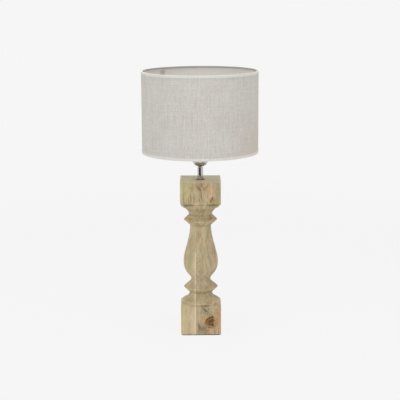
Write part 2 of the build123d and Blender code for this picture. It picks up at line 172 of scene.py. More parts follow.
class Graph:
    """Node tree of a material or of the world."""

    def __init__(self, owner: Union[bpy.types.Material, bpy.types.World]) -> None:
        """Turns on the owner's nodes and empties its tree.

        Args:
            owner: The material or the world.
        """
        owner.use_nodes = True
        self.tree = owner.node_tree
        self.tree.nodes.clear()

    def node(
        self,
        kind: str,
        settings: dict[str, Any] | None = None,
        inputs: dict[Union[str, int], Value] | None = None,
        output: Union[str, int] = 0,
    ) -> Signal:
        """Adds a node of any kind.

        Args:
            kind: Blender's name of the node type, without ShaderNode in front.
            settings: Attributes that are set first. "stops" holds the steps of a ramp.
            inputs: Values or signals by the name or number of their socket.
            output: Name or number of the output to hand back.

        Returns:
            The chosen output, or the first input of a node that has none.
        """
        made = self.tree.nodes.new("ShaderNode" + kind)
        for key, value in (settings or {}).items():
            if key == "stops":
                self._set_stops(made, value)
            else:
                setattr(made, key, value)
        for key, value in (inputs or {}).items():
            socket = made.inputs[key]
            if isinstance(value, Signal):
                self.tree.links.new(value.socket, socket)
            else:
                socket.default_value = value
        return Signal(self, made.outputs[output] if made.outputs else made.inputs[0])

    def _set_stops(self, made: bpy.types.Node, stops: Sequence[tuple[float, Colour]]) -> None:
        """Gives a ramp node its steps.

        Args:
            made: The ramp.
            stops: Place and colour of each step.
        """
        made.color_ramp.interpolation = "CONSTANT"
        elements = made.color_ramp.elements
        while len(elements) < len(stops):
            elements.new(1.0)
        for element, (place, colour) in zip(elements, stops):
            element.position = place
            element.color = colour

    def vector(self, operation: str, *operands: Value, output: str = "Vector") -> Signal:
        """Adds one Vector Math node."""
        return self.node("VectorMath", {"operation": operation}, dict(enumerate(operands)), output)

    def stretch(self, vector: Signal, factors: Sequence[float]) -> Signal:
        """Multiplies a vector by three factors."""
        return self.vector("MULTIPLY", vector, factors)

    def shift(self, vector: Signal, offset: Sequence[float]) -> Signal:
        """Adds an offset to a vector."""
        return self.vector("ADD", vector, offset)

    def dot(self, vector: Signal, axis: Sequence[float]) -> Signal:
        """Dot product of a vector and an axis."""
        return self.vector("DOT_PRODUCT", vector, axis, output="Value")

    def length(self, vector: Signal) -> Signal:
        """Length of a vector."""
        return self.vector("LENGTH", vector, output="Value")

    def place(self) -> Signal:
        """Point on the object in the lamp's frame, in millimetres."""
        return self.stretch(self.node("TexCoord", output="Object"), (1 / MM, 1 / MM, 1 / MM))

    def parts(self, whole: Signal, kind: str = "SeparateXYZ") -> Spot:
        """Takes a vector or a colour apart.

        Args:
            whole: Any vector or colour.
            kind: Type of node that takes it apart.

        Returns:
            Its three parts.
        """
        outputs = self.node(kind, None, {0: whole}).socket.node.outputs
        return (Signal(self, outputs[0]), Signal(self, outputs[1]), Signal(self, outputs[2]))

    def join(self, x: Operand, y: Operand, z: Operand) -> Signal:
        """Makes a vector of three values."""
        return self.node("CombineXYZ", None, {0: x, 1: y, 2: z})

    def chance(self, value: Signal) -> Signal:
        """Random value from 0 to 1 for each whole number."""
        return self.node("TexWhiteNoise", {"noise_dimensions": "1D"}, {"W": value})

    def mix(self, share: Operand, first: Value, second: Value) -> Signal:
        """Blends two colours.

        Args:
            share: Part of the second colour, from 0 to 1.
            first: Colour at 0.
            second: Colour at 1.

        Returns:
            The blended colour.
        """
        settings = {"data_type": "RGBA", "clamp_factor": True}
        return self.node("Mix", settings, {0: share, 6: first, 7: second}, 2)

    def scale_colour(self, colour: Signal, factor: Signal) -> Signal:
        """Multiplies a colour by a value."""
        return self.node("VectorMath", {"operation": "SCALE"}, {0: colour, "Scale": factor})

    def bump(self, height: Signal, depth: float, strength: float) -> Signal:
        """Turns a height into a normal.

        Args:
            height: Height from 0 to 1.
            depth: Depth of a height of 1, in millimetres.
            strength: Share of the effect.

        Returns:
            The bent normal.
        """
        inputs = {"Strength": strength, "Distance": depth * MM, "Height": height}
        return self.node("Bump", None, inputs)


@dataclass(frozen=True)
class Noise:
    """Soft noise round one half, with its features for each millimetre along three axes."""

    scales: Point
    detail: float = 3.0
    rough: float = 0.6
    bend: float = 0.0
    weight: float = 1.0
    span: Span = (0.0, 1.0)

    def _texture(self, vector: Signal) -> Signal:
        """Adds the noise node.

        Args:
            vector: Where to read the noise, in features.

        Returns:
            The noise.
        """
        inputs = {"Vector": vector, "Scale": 1.0, "Detail": self.detail}
        inputs.update({"Roughness": self.rough, "Distortion": self.bend})
        return vector.graph.node("TexNoise", None, inputs)

    def over(self, place: Signal) -> Signal:
        """Reads the noise at a point."""
        return self._texture(place.graph.stretch(place, self.scales))

    def at(self, x: Signal, y: Signal, z: Operand) -> Signal:
        """Reads the noise at three coordinates, of which the last may be a number."""
        scales = self.scales
        return self._texture(x.graph.join(x * scales[0], y * scales[1], z * scales[2]))

    def weigh(self, reading: Signal) -> Signal:
        """Turns a reading into a change round zero."""
        return (reading - NOISE_MEAN) * self.weight

    def change(self, x: Signal, y: Signal, z: Operand) -> Signal:
        """Reads the noise as a change round zero."""
        return self.weigh(self.at(x, y, z))

    def mask(self, reading: Signal) -> Signal:
        """Turns a reading into a mask over the noise's span."""
        return reading.ramp(*self.span)


class Finish:
    """Surface finish that is drawn by nodes."""

    name: str
    made: ClassVar[dict[str, bpy.types.Material]] = {}

    def paint(self, graph: Graph) -> dict[str, Value]:
        """Draws the finish.

        Args:
            graph: Empty node tree of the material.

        Returns:
            Values and signals for the sockets of the shader.
        """
        raise NotImplementedError

    def material(self) -> bpy.types.Material:
        """Makes the material, or hands back the one made before.

        Returns:
            The material.
        """
        if self.name not in Finish.made:
            made = bpy.data.materials.new(self.name)
            graph = Graph(made)
            shader = graph.node("BsdfPrincipled", None, self.paint(graph))
            graph.node("OutputMaterial", None, {"Surface": shader})
            Finish.made[self.name] = made
        return Finish.made[self.name]

    def dress(self, piece: bpy.types.Object) -> None:
        """Gives a piece this finish alone."""
        piece.data.materials.clear()
        piece.data.materials.append(self.material())


class Side(Enum):
    """Face of the wood that a mark shows on, as the signs of X and Y."""

    FRONT = (0.0, -1.0)
    BACK = (0.0, 1.0)
    LEFT = (-1.0, 0.0)
    RIGHT = (1.0, 0.0)


Faces = dict[Side, tuple[Signal, Signal]]


@dataclass(frozen=True)
class Patch:
    """Stain or pale streak in the figure of the wood, or painted light or shade on it, in millimetres and
    degrees.
    """

    rim: ClassVar[float] = 0.8
    blur: ClassVar[float] = 0.5
    fine_blur: ClassVar[float] = 0.25
    fine: ClassVar[float] = 1.95
    across: float
    height: float
    half_width: float
    half_height: float
    colour: Colour
    strength: float = 0.6
    lean: float = 0.0
    ragged: float = 1.8
    side: Side = Side.FRONT

    def mask(self, face: Signal, noise: Signal) -> Signal:
        """Draws the patch as a ragged oval.

        Args:
            face: Place across the face and up.
            noise: Noise round zero that roughens the outline.

        Returns:
            The patch's strength inside, and zero outside.
        """
        graph = face.graph
        near = graph.shift(face, (-self.across, -self.height, 0.0))
        if self.lean == 0.0:
            near = graph.stretch(near, (1 / self.half_width, 1 / self.half_height, 0.0))
        else:
            cosine = math.cos(math.radians(self.lean))
            sine = math.sin(math.radians(self.lean))
            off = graph.dot(near, (cosine / self.half_width, sine / self.half_width, 0.0))
            rise = graph.dot(near, (-sine / self.half_height, cosine / self.half_height, 0.0))
            near = graph.join(off, rise, 0.0)
        blur = self.blur if min(self.half_width, self.half_height) > self.fine else self.fine_blur
        outline = graph.length(near) + noise * self.ragged
        return outline.ramp(self.rim + blur, self.rim - blur, self.strength)


@dataclass(frozen=True)
class Fleck(Patch):
    """Short dark line in the grain."""

    ragged: float = 1.6


def on_side(side: Side, *patches: Patch) -> tuple[Patch, ...]:
    """Puts patches on a side of the wood."""
    return tuple(replace(patch, side=side) for patch in patches)


@dataclass(frozen=True)
class Knot:
    """Knot that a face of the wood cuts open, with straight sides, in millimetres."""

    far_inside: ClassVar[float] = 100.0
    outline: ClassVar[Span] = (-0.7, 1.0)
    rim: ClassVar[Span] = (2.5, 0.0)
    rim_share: ClassVar[float] = 0.5
    heart: ClassVar[float] = 2.0
    drive: ClassVar[float] = 0.55
    corners: tuple[Span, ...]
    dark: Colour = tint(86, 53, 22)
    light: Colour = tint(142, 99, 50)
    strength: float = 0.95
    ragged: float = 5.0
    spread: float = 26.0
    side: Side = Side.FRONT

    def inside(self, face: Signal, noise: Signal) -> Signal:
        """Measures how far a point lies inside the corners, which run counter-clockwise.

        Args:
            face: Place across the face and up.
            noise: Noise round zero that roughens the outline.

        Returns:
            The distance from the knot's outline, less than zero outside.
        """
        edge = noise * self.ragged
        inside = edge + self.far_inside
        for (x0, z0), (x1, z1) in zip(self.corners, self.corners[1:] + self.corners[:1]):
            length = math.hypot(x1 - x0, z1 - z0)
            inward = ((z0 - z1) / length, (x1 - x0) / length, 0.0)
            start = x0 * inward[0] + z0 * inward[1]
            inside = inside.least(face.graph.dot(face, inward) - start + edge)
        return inside

    def push(self, face: Signal) -> Signal:
        """Finds how far the knot drives the grain aside.

        Args:
            face: Place across the face and up.

        Returns:
            The shift across the face.
        """
        count = len(self.corners)
        across = sum(corner[0] for corner in self.corners) / count
        height = sum(corner[1] for corner in self.corners) / count
        off = face.graph.shift(face, (-across, -height, 0.0))
        reach = face.graph.length(off).ramp(self.spread, self.heart, -self.drive)
        return face.graph.parts(off)[0] * reach

    def lay(self, colour: Signal, place: tuple[Signal, Signal], noise: Signal, layer: Signal) -> Signal:
        """Lays the knot over the wood.

        Args:
            colour: Colour of the wood round it.
            place: Place across the face and up, and mask of the face.
            noise: Noise round zero that roughens the outline.
            layer: Mask of the light layers in the knot.

        Returns:
            The colour with the knot.
        """
        graph = colour.graph
        inside = self.inside(place[0], noise)
        wood = graph.mix(layer, self.dark, self.light)
        wood = graph.mix(inside.ramp(*self.rim, self.rim_share), wood, self.dark)
        return graph.mix(inside.ramp(*self.outline, self.strength) * place[1], colour, wood)


@dataclass(frozen=True)
class GluePlane:
    """Upright joint between two boards of the blank, in millimetres."""

    across: float
    lean: float
    darkness: float
    pale_edge: float = 0.0


@dataclass(frozen=True)
class Ridge:
    """Ridge of a bead, paler where the finish is rubbed and where a painted highlight runs along it, in
    millimetres.
    """

    core: ClassVar[float] = 0.4
    height: float
    half: float
    radius: Span
    strength: float

    def mask(self, radius: Signal, z: Signal) -> Signal:
        """Strength of the ridge on it, and zero elsewhere."""
        return abs(z - self.height).ramp(self.half, self.core, self.strength) * radius.ramp(*self.radius)


FOOT_MARKS = (
    Patch(10, 66, 13.5, 14, tint(148, 138, 104), 0.5),
    Patch(25, 72, 10.5, 11, tint(220, 196, 156), 0.6),
    Patch(34, 94, 11, 8, tint(214, 180, 142), 0.55),
    Patch(5, 42, 10, 15, tint(216, 182, 126), 0.65),
    Patch(45, 44, 10, 40, tint(198, 150, 102), 0.66),
    Patch(26, 37, 18, 22, tint(176, 132, 80), 0.6, 20),
    Patch(1, 18, 15, 16, tint(166, 146, 118), 0.6),
    Patch(31, 10, 15, 10, tint(222, 182, 140), 0.8, -30),
    Patch(24, 22, 12, 2.8, tint(128, 98, 62), 0.6, -12),
    Fleck(5, 75, 2.1, 10, tint(98, 90, 64), 0.64, 24),
    Fleck(10.5, 69, 2.4, 9, tint(96, 90, 62), 0.64, 30),
    Fleck(16, 63, 2.3, 9, tint(100, 90, 60), 0.5, 20),
    Fleck(19, 70, 1.9, 8, tint(104, 94, 66), 0.45, -24),
    Patch(12, 80, 9, 1.8, tint(98, 90, 62), 0.6, -8, 1.4),
    Fleck(4, 47, 2.4, 7, tint(150, 108, 60), 0.48, -16),
    Fleck(-5, 22, 1.9, 11, tint(100, 84, 60), 0.6, 34),
    Fleck(2, 19, 2.3, 13, tint(96, 80, 58), 0.6, 40),
    Fleck(9, 19, 1.9, 10, tint(100, 84, 60), 0.6, 42),
    Fleck(17, 12, 2.1, 8, tint(110, 86, 58), 0.56, -38),
    Fleck(36, 8, 2.3, 6, tint(138, 102, 68), 0.52, 9),
    Fleck(45, 7, 2.3, 5, tint(132, 98, 64), 0.52, -11),
    Patch(-42, 48, 11, 34, tint(196, 186, 138), 0.5),
    Patch(-22, 30, 12, 40, tint(222, 200, 170), 0.35),
    Patch(-31, 30.4, 3.6, 0.8, tint(140, 118, 84), 0.6),
    Patch(-40, 67, 8, 1.6, tint(160, 148, 100), 0.5),
    Patch(-32, 87, 24, 11, tint(156, 140, 106), 0.6),
    Patch(0, 80, 27, 1.3, tint(112, 98, 68), 0.65, 0, 0.5),
)
HEAD_MARKS = (
    Patch(-38, 382, 13, 34, tint(216, 200, 146), 0.55),
    Patch(-19, 398, 8, 14, tint(158, 138, 102), 0.4),
    Patch(0, 376, 15, 26, tint(218, 194, 154), 0.55),
    Patch(21, 387, 15, 32, tint(224, 192, 150), 0.6),
    Patch(35, 388, 9, 24, tint(212, 178, 130), 0.5),
    Patch(30, 361, 11, 11, tint(150, 120, 70), 0.55, -30),
    Patch(38, 354, 8, 8, tint(180, 160, 84), 0.5),
    Patch(-1, 399, 11, 11, tint(166, 138, 100), 0.35),
    Fleck(-7, 397, 2.1, 12, tint(120, 90, 54), 0.6, 28),
    Fleck(-1, 392, 1.9, 9, tint(114, 86, 50), 0.6, 18),
    Fleck(4, 401, 1.9, 7, tint(128, 96, 58), 0.52, 6),
    Fleck(16, 396, 2.4, 12, tint(116, 84, 46), 0.5, -30),
    Fleck(9, 393, 1.9, 9, tint(126, 94, 54), 0.46, -34),
    Fleck(1.5, 379, 2.3, 14, tint(112, 92, 60), 0.6, 8),
    Fleck(4, 366, 1.9, 11, tint(120, 100, 66), 0.46, 10),
    Fleck(-3, 361, 1.8, 11, tint(134, 112, 76), 0.48, -16),
    Fleck(-25.2, 367, 2.3, 16, tint(134, 104, 62), 0.56),
    Fleck(-30.5, 362, 1.9, 12, tint(146, 116, 72), 0.48, 3),
    Fleck(-43.2, 374, 1.9, 22, tint(138, 120, 80), 0.48),
    Fleck(-15, 366, 2.1, 15, tint(140, 116, 76), 0.48, -5),
    Patch(-6, 351, 6, 10, tint(226, 200, 160), 0.7),
    Patch(11, 349, 5, 9, tint(224, 194, 152), 0.6),
    # Greyer strips along both upright edges of the upper block: the left one is lightened with painted light,
    # the right one darkened with painted shade.
    Patch(47.5, 379, 6, 46, tint(178, 170, 138), 0.8, 0, 0.6),
    Patch(-49.5, 379, 5.5, 46, tint(212, 202, 162), 0.8, 0, 0.6),
    # Painted shadow under the upper block's ledge, darkest towards both corners, then painted shade under the
    # right corner's shoulder, and a fainter line of painted shade along the flush middle.
    Patch(-33, 349.7, 18, 2.2, tint(74, 56, 28), 0.95, 0, 0.4),
    Patch(32, 349.7, 16, 2.4, tint(60, 50, 10), 0.95, 0, 0.4),
    Patch(46.5, 346.5, 7, 3.2, tint(92, 82, 66), 0.75, 0, 0.6),
    Patch(0, 349.4, 18, 1.2, tint(128, 106, 72), 0.5, 0, 0.5),
)
STEM_MARKS = (
    Patch(-27, 308.5, 10, 2.2, tint(166, 122, 70), 0.6),
    Patch(24, 308.5, 14, 2, tint(150, 108, 62), 0.6),
    Patch(23, 128, 8, 6, tint(204, 154, 122), 0.5),
    Patch(-4, 127, 44, 8, tint(146, 132, 100), 0.35, 0, 0.6),
    Patch(5, 192, 11, 26, tint(210, 190, 152), 0.35),
    Patch(23, 236, 11, 32, tint(208, 188, 154), 0.5),
    Patch(-22, 240, 10, 36, tint(168, 154, 118), 0.45),
    Patch(-32, 190, 9, 32, tint(170, 168, 120), 0.5),
    Patch(-8, 155, 5.5, 92, tint(214, 198, 166), 0.5),
    Patch(-22, 128, 8, 13, tint(150, 142, 108), 0.45),
    Patch(16, 284, 9, 13, tint(202, 186, 152), 0.35),
    Patch(16, 154, 9, 12, tint(208, 178, 148), 0.5, 40),
)
SIDE_MARKS = (
    on_side(
        Side.RIGHT,
        Patch(-9, 390, 13, 20, tint(190, 150, 100), 0.6, 4),
        Patch(12, 60, 5, 18, tint(150, 118, 78), 0.6, 3),
        Patch(-22, 30, 14, 24, tint(216, 186, 146), 0.5),
        Patch(20, 380, 8, 26, tint(140, 112, 72), 0.5, 5),
        Fleck(30, 48, 2.1, 16, tint(124, 98, 62), 0.52, 2),
    )
    + on_side(
        Side.LEFT,
        Patch(12, 384, 13, 22, tint(190, 152, 102), 0.6, -4),
        Patch(-20, 374, 11, 24, tint(210, 184, 130), 0.55, 3),
        Patch(-4, 30, 14, 20, tint(204, 170, 124), 0.5, 8),
        Patch(18, 36, 12, 26, tint(150, 130, 94), 0.5, -6),
        Fleck(-12, 56, 2.1, 14, tint(126, 98, 62), 0.52, 2),
    )
    + on_side(
        Side.BACK,
        Patch(-17, 51, 17, 22, tint(186, 146, 96), 0.65, 10),
        Patch(-24, 32, 12, 9, tint(146, 124, 92), 0.5, 20),
        Patch(-26, 384, 12, 26, tint(208, 172, 124), 0.55),
        Fleck(14, 372, 2.1, 20, tint(128, 100, 64), 0.52, 1),
        Patch(20, 40, 14, 26, tint(214, 184, 140), 0.5),
    )
)
KNOT_MARKS = (
    Patch(14.5, 34, 5.5, 6.5, tint(150, 110, 58), 0.85, 20),
    Patch(24, 44.5, 1.6, 11, tint(170, 128, 74), 0.8, -66, 1.2),
    Patch(26, 32.5, 1.2, 8, tint(138, 98, 50), 0.7, -72, 1.2),
    Patch(29, 39, 2.8, 9, tint(74, 44, 16), 0.6, -70, 1.2),
)
KNOTS = (
    Knot(((33.2, 23.5), (33.4, 52.5), (29.2, 55), (11.5, 42), (10, 31))),
    Knot(((26, 356.4), (33.7, 369.8), (31, 371.5), (23, 357.1)), ragged=3, spread=12),
    Knot(
        ((-12, 45), (-10.5, 52), (-13, 58.5), (-19, 59.5), (-23.5, 54), (-22, 46), (-17, 42.5)),
        dark=tint(104, 70, 36),
        light=tint(168, 126, 76),
        strength=0.85,
        side=Side.BACK,
    ),
    Knot(
        ((16, 378), (17.5, 384), (15, 391), (11, 392), (8, 385), (10.5, 377.5)),
        dark=tint(110, 76, 42),
        light=tint(170, 130, 82),
        strength=0.8,
        spread=16,
        side=Side.LEFT,
    ),
    Knot(
        ((-5, 387), (-4.5, 392), (-7.5, 397.5), (-11.5, 396), (-13, 389), (-10, 385)),
        dark=tint(110, 76, 42),
        light=tint(172, 130, 80),
        strength=0.8,
        spread=14,
        side=Side.RIGHT,
    ),
)


@dataclass(frozen=True)
class Wood(Finish):
    """Pale open-grained wood, glued up from boards under a thin dull coat, in millimetres."""

    name: str = "pale_wood"
    light: Colour = tint(214, 197, 161)
    dark: Colour = tint(154, 135, 102)
    green: Colour = tint(176, 165, 126)
    pink: Colour = tint(206, 180, 138)
    pale: Colour = tint(222, 206, 176)
    # Painted light: the pale colour that the top face is mixed towards, standing in for light falling on it.
    painted_top_light: Colour = tint(198, 190, 160)
    glue: Colour = tint(120, 100, 70)
    groove_shade_colour: Colour = tint(104, 84, 54)
    brightness: float = 1.04
    rough: float = 0.56
    rough_fibre: float = 0.16
    rough_pore: float = 0.14
    specular: float = 0.35
    fibre_relief: float = 0.5
    streak_relief: float = 0.3
    pore_relief: float = 0.6
    relief_depth: float = 0.25
    relief: float = 0.5

    figure: Noise = Noise((0.065, 0.065, 0.01), 4.0, 0.6, 0.8, span=(0.32, 0.66))
    hue: Noise = Noise((0.045, 0.045, 0.016), 3.0, 0.55, 0.6, weight=0.45, span=(0.38, 0.62))
    mottle: Noise = Noise((0.2, 0.2, 0.075), 3.0, 0.6, 1.0, weight=0.6)
    curl: Noise = Noise((0.42, 0.42, 0.2), 2.0, 0.6, 1.2, weight=0.45)
    fibre: Noise = Noise((1.1, 1.1, 0.035), 3.0, 0.65, weight=0.24)
    streak: Noise = Noise((0.36, 0.36, 0.016), 3.0, 0.6, 0.5, weight=0.5)
    pore: Noise = Noise((2.0, 2.0, 0.11), 1.0, 0.5, weight=0.15, span=(0.61, 0.71))
    fleck: Noise = Noise((0.55, 0.55, 0.1), 2.0, 0.5, 0.4, weight=0.2, span=(0.64, 0.74))
    wander: Noise = Noise((0.07, 0.07, 0.06), 2.0, 0.5, weight=5.0)
    lumps: Noise = Noise((0.24, 0.24, 0.18))
    torn: Noise = Noise((0.75, 0.75, 0.05))
    knot_layer: Noise = Noise((0.09, 0.09, 0.36), 3.0, 0.6, 0.4, span=(0.4, 0.62))
    layer_slope: float = 0.5

    heart: tuple[float, float] = (-70.0, 40.0)
    ring_pitch: float = 7.5
    ring_wander: float = 22.0
    ring_weight: float = 0.1
    top_ring_weight: float = 0.06
    top_face: Span = (407.6, 408.8)
    top_light_share: float = 0.6
    facing: Span = (12.0, 20.0)

    planes: tuple[GluePlane, ...] = (
        GluePlane(-55.0, 0.03, 0.25),
        GluePlane(-13.1, 0.0072, 0.4, 0.5),
        GluePlane(34.4, 0.0185, 0.35),
    )
    back_plane: float = 7.0
    back_shift: float = 23.0
    back_seam: Span = (0.5, 0.1)
    back_darkness: float = 0.4
    seam: Span = (0.7, 0.1)
    seam_fade: Span = (330.0, 200.0)
    seam_least: float = 0.35
    edge_glow: Span = (-14.0, -0.5)
    edge_line: Span = (-3.6, -2.2)
    edge_line_gain: float = 1.6
    edge_fade: Span = (265.0, 205.0)
    board_tones: tuple[float, ...] = (0.94, 1.11, 0.91, 0.94, 1.04, 0.94, 1.0, 0.96)
    board_contrasts: tuple[float, ...] = (0.8, 0.5, 1.0, 0.9, 0.9, 0.8, 1.0, 0.9)
    board_offset: Point = (37.0, 91.0, 53.0)
    board_fade: Span = (380.0, 90.0)
    tone_least: float = 0.45

    # Painted shade in the turned grooves, as height, half width and strength.
    grooves: tuple[tuple[float, float, float], ...] = (
        (109.5, 5.5, 0.26),
        (142.0, 6.0, 0.1),
        (289.0, 4.5, 0.18),
        (317.0, 4.0, 0.14),
        (333.0, 8.0, 0.16),
    )
    ridges: tuple[Ridge, ...] = (
        Ridge(120.3, 1.8, (42.5, 44.0), 1.0),
        Ridge(302.5, 1.6, (41.5, 43.0), 0.5),
    )
    corner: Span = (50.9, 52.0)
    mouth_radius: Span = (17.4, 16.6)
    mouth_height: Span = (406.6, 407.0)
    mouth_gain: float = 1.6
    rubbed_highlight_share: float = 0.35

    def paint(self, graph: Graph) -> dict[str, Value]:
        """Draws boards, grain, growth rings, pores, stains, knots and rubbed edges, with painted highlights,
        painted light on the top face, and painted shade in the grooves and under the upper block's ledge.

        Args:
            graph: Empty node tree of the material.

        Returns:
            Values and signals for the sockets of the shader.
        """
        spot = graph.parts(graph.place())
        x, y, z = spot
        faces = self._faces(spot)
        board, seam, edge = self._boards(spot)
        across, deep, along = self.board_offset
        flow = self._flow(faces)
        grain = (x + flow + board * across, y + board * deep, z + board * along)
        figure = self.figure.at(*grain)
        hue = self.hue.at(*grain)
        mottle = self.mottle.at(*grain)
        curl = self.curl.at(*grain)
        fibre = self.fibre.at(*grain)
        streak = self.streak.at(*grain)
        pore = self.pore.mask(self.pore.at(*grain))
        fleck = self.fleck.mask(self.fleck.at(*grain))
        ring = self._rings(grain[0], grain[1], figure)
        tone, contrast = self._board_looks(board, z)
        figure = NOISE_MEAN + (figure - NOISE_MEAN) * contrast
        hue = NOISE_MEAN + (hue - NOISE_MEAN) * contrast
        colour = graph.mix(self.figure.mask(figure), self.dark, self.light)
        colour = graph.mix(self.hue.weight, colour, graph.mix(self.hue.mask(hue), self.green, self.pink))
        level = self.fibre.weigh(fibre) + self.streak.weigh(streak)
        level = level + self.mottle.weigh(mottle) + self.curl.weigh(curl)
        top = z.ramp(*self.top_face)
        level = level - ring * (self.ring_weight + top * self.top_ring_weight)
        level = level - pore * self.pore.weight - fleck * self.fleck.weight
        level = self.brightness + level * contrast
        colour = graph.mix(edge, colour, self.pale)
        ragged = self.lumps.at(*spot) + self.torn.at(*spot) - 2 * NOISE_MEAN
        colour = self._lay_patches(colour, FOOT_MARKS + HEAD_MARKS + STEM_MARKS + SIDE_MARKS, faces, ragged)
        # Painted light: the top face of the wood is made paler.
        colour = graph.mix(top * self.top_light_share, colour, self.painted_top_light)
        colour = graph.scale_colour(colour, level * tone)
        layer = self.knot_layer.mask(self.knot_layer.at(x, y, z - x * self.layer_slope))
        for knot in KNOTS:
            colour = knot.lay(colour, faces[knot.side], ragged, layer)
        colour = self._lay_patches(colour, KNOT_MARKS, faces, ragged)
        # Painted shade in the turned grooves.
        colour = graph.mix(self._groove_shade(z), colour, self.groove_shade_colour)
        colour = graph.mix(seam, colour, self.glue)
        # Paler corners, bead ridges and hole mouth: partly rubbed finish, partly painted highlight.
        colour = graph.mix(self._rubbed_and_highlit(spot) * self.rubbed_highlight_share, colour, self.pale)
        height = fibre * self.fibre_relief + streak * self.streak_relief - pore * self.pore_relief
        return {
            "Base Color": colour,
            "Roughness": self.rough + (fibre - NOISE_MEAN) * self.rough_fibre + pore * self.rough_pore,
            "Specular IOR Level": self.specular,
            "Normal": graph.bump(height, self.relief_depth, self.relief),
        }

    def _faces(self, spot: Spot) -> Faces:
        """Gives every side its place across and up, which wanders a little, and a mask of where it faces.

        Args:
            spot: Point on the wood.

        Returns:
            The two signals for each side.
        """
        x, y, z = spot
        wander = self.wander.change(x, y, z)
        faces = {}
        for side in Side:
            sign_x, sign_y = side.value
            along, depth = (x, y * sign_y) if sign_x == 0.0 else (y, x * sign_x)
            faces[side] = (z.graph.join(along + wander, z, 0.0), depth.ramp(*self.facing))
        return faces

    def _boards(self, spot: Spot) -> Spot:
        """Finds the board that a point is in.

        Args:
            spot: Point on the wood.

        Returns:
            The board's number, a mask of the glue lines, and a mask of pale edges beside them.
        """
        x, y, z = spot
        behind = y > self.back_plane
        across = x + behind * self.back_shift
        number = behind * float(len(self.planes) + 1)
        seam = abs(y - self.back_plane).ramp(*self.back_seam) * self.back_darkness
        edge = behind * 0.0
        for plane in self.planes:
            gap = across - z * plane.lean - plane.across
            number = number + (gap > 0.0)
            seam = seam.most(abs(gap).ramp(*self.seam) * plane.darkness)
            if plane.pale_edge > 0.0:
                near = gap.ramp(*self.edge_glow).most(gap.ramp(*self.edge_line) * self.edge_line_gain)
                edge = edge.most(near * (gap < 0.0) * plane.pale_edge)
        return (number, seam * z.ramp(*self.seam_fade).most(self.seam_least), edge * z.ramp(*self.edge_fade))

    def _board_looks(self, board: Signal, z: Signal) -> tuple[Signal, Signal]:
        """Finds how a board differs from its neighbours, which evens out towards the top.

        Args:
            board: Number of the board.
            z: Height of the point.

        Returns:
            The board's brightness, and the contrast of its grain.
        """
        count = len(self.board_tones)
        looks = zip(self.board_tones, self.board_contrasts)
        # A ramp keeps its colours within 1, so it holds the tones halved.
        stops = [(i / count, (tone / 2, contrast, 0.0, 1.0)) for i, (tone, contrast) in enumerate(looks)]
        steps = board.graph.node("ValToRGB", {"stops": stops}, {"Fac": (board + 0.5) / float(count)})
        tone, contrast, _ = board.graph.parts(steps, "SeparateColor")
        low = z.ramp(*self.board_fade)
        return (1.0 + (tone * 2.0 - 1.0) * low.most(self.tone_least), 1.0 + (contrast - 1.0) * low)

    def _flow(self, faces: Faces) -> Signal:
        """Finds how far all knots together drive the grain aside."""
        pushes = [knot.push(faces[knot.side][0]) * faces[knot.side][1] for knot in KNOTS]
        return sum(pushes[1:], pushes[0])

    def _rings(self, x: Signal, y: Signal, figure: Signal) -> Signal:
        """Draws the dark bands of the growth rings, whose heart lies outside the blank.

        Args:
            x: Place across the grain.
            y: Depth in the grain.
            figure: Noise that the rings wander by.

        Returns:
            One in the middle of a band, and zero between two bands.
        """
        off_x = x - self.heart[0]
        off_y = y - self.heart[1]
        radius = (off_x * off_x + off_y * off_y).root() + figure * self.ring_wander
        return ((radius * (2 * math.pi / self.ring_pitch)).sin() * 0.5 + 0.5) ** 2

    def _lay_patches(self, colour: Signal, patches: Sequence[Patch], faces: Faces, ragged: Signal) -> Signal:
        """Lays patches over the wood.

        Args:
            colour: Colour of the wood.
            patches: The patches, from the lowest layer up.
            faces: Place and mask for each side.
            ragged: Noise for the outlines.

        Returns:
            The colour with the patches laid over it.
        """
        for patch in patches:
            face, facing = faces[patch.side]
            colour = colour.graph.mix(patch.mask(face, ragged) * facing, colour, patch.colour)
        return colour

    def _groove_shade(self, z: Signal) -> Signal:
        """Paints shade into the turned grooves: darker bands at the necks under both beads, at the waist and
        in the upper cove.
        """
        marks = [abs(z - height).ramp(half, 0.0, strength) for height, half, strength in self.grooves]
        return sum(marks[1:], marks[0])

    def _rubbed_and_highlit(self, spot: Spot) -> Signal:
        """Paints the upright corners, the ridges of both beads and the mouth of the hole on top paler, partly
        as rubbed finish and partly as painted highlight.

        Args:
            spot: Point on the wood.

        Returns:
            Mask of where the finish is rubbed and where highlights are painted.
        """
        x, y, z = spot
        rubbed = abs(x).least(abs(y)).ramp(*self.corner)
        radius = (x * x + y * y).root()
        for ridge in self.ridges:
            rubbed = rubbed.most(ridge.mask(radius, z))
        return rubbed.most(radius.ramp(*self.mouth_radius, self.mouth_gain) * z.ramp(*self.mouth_height))


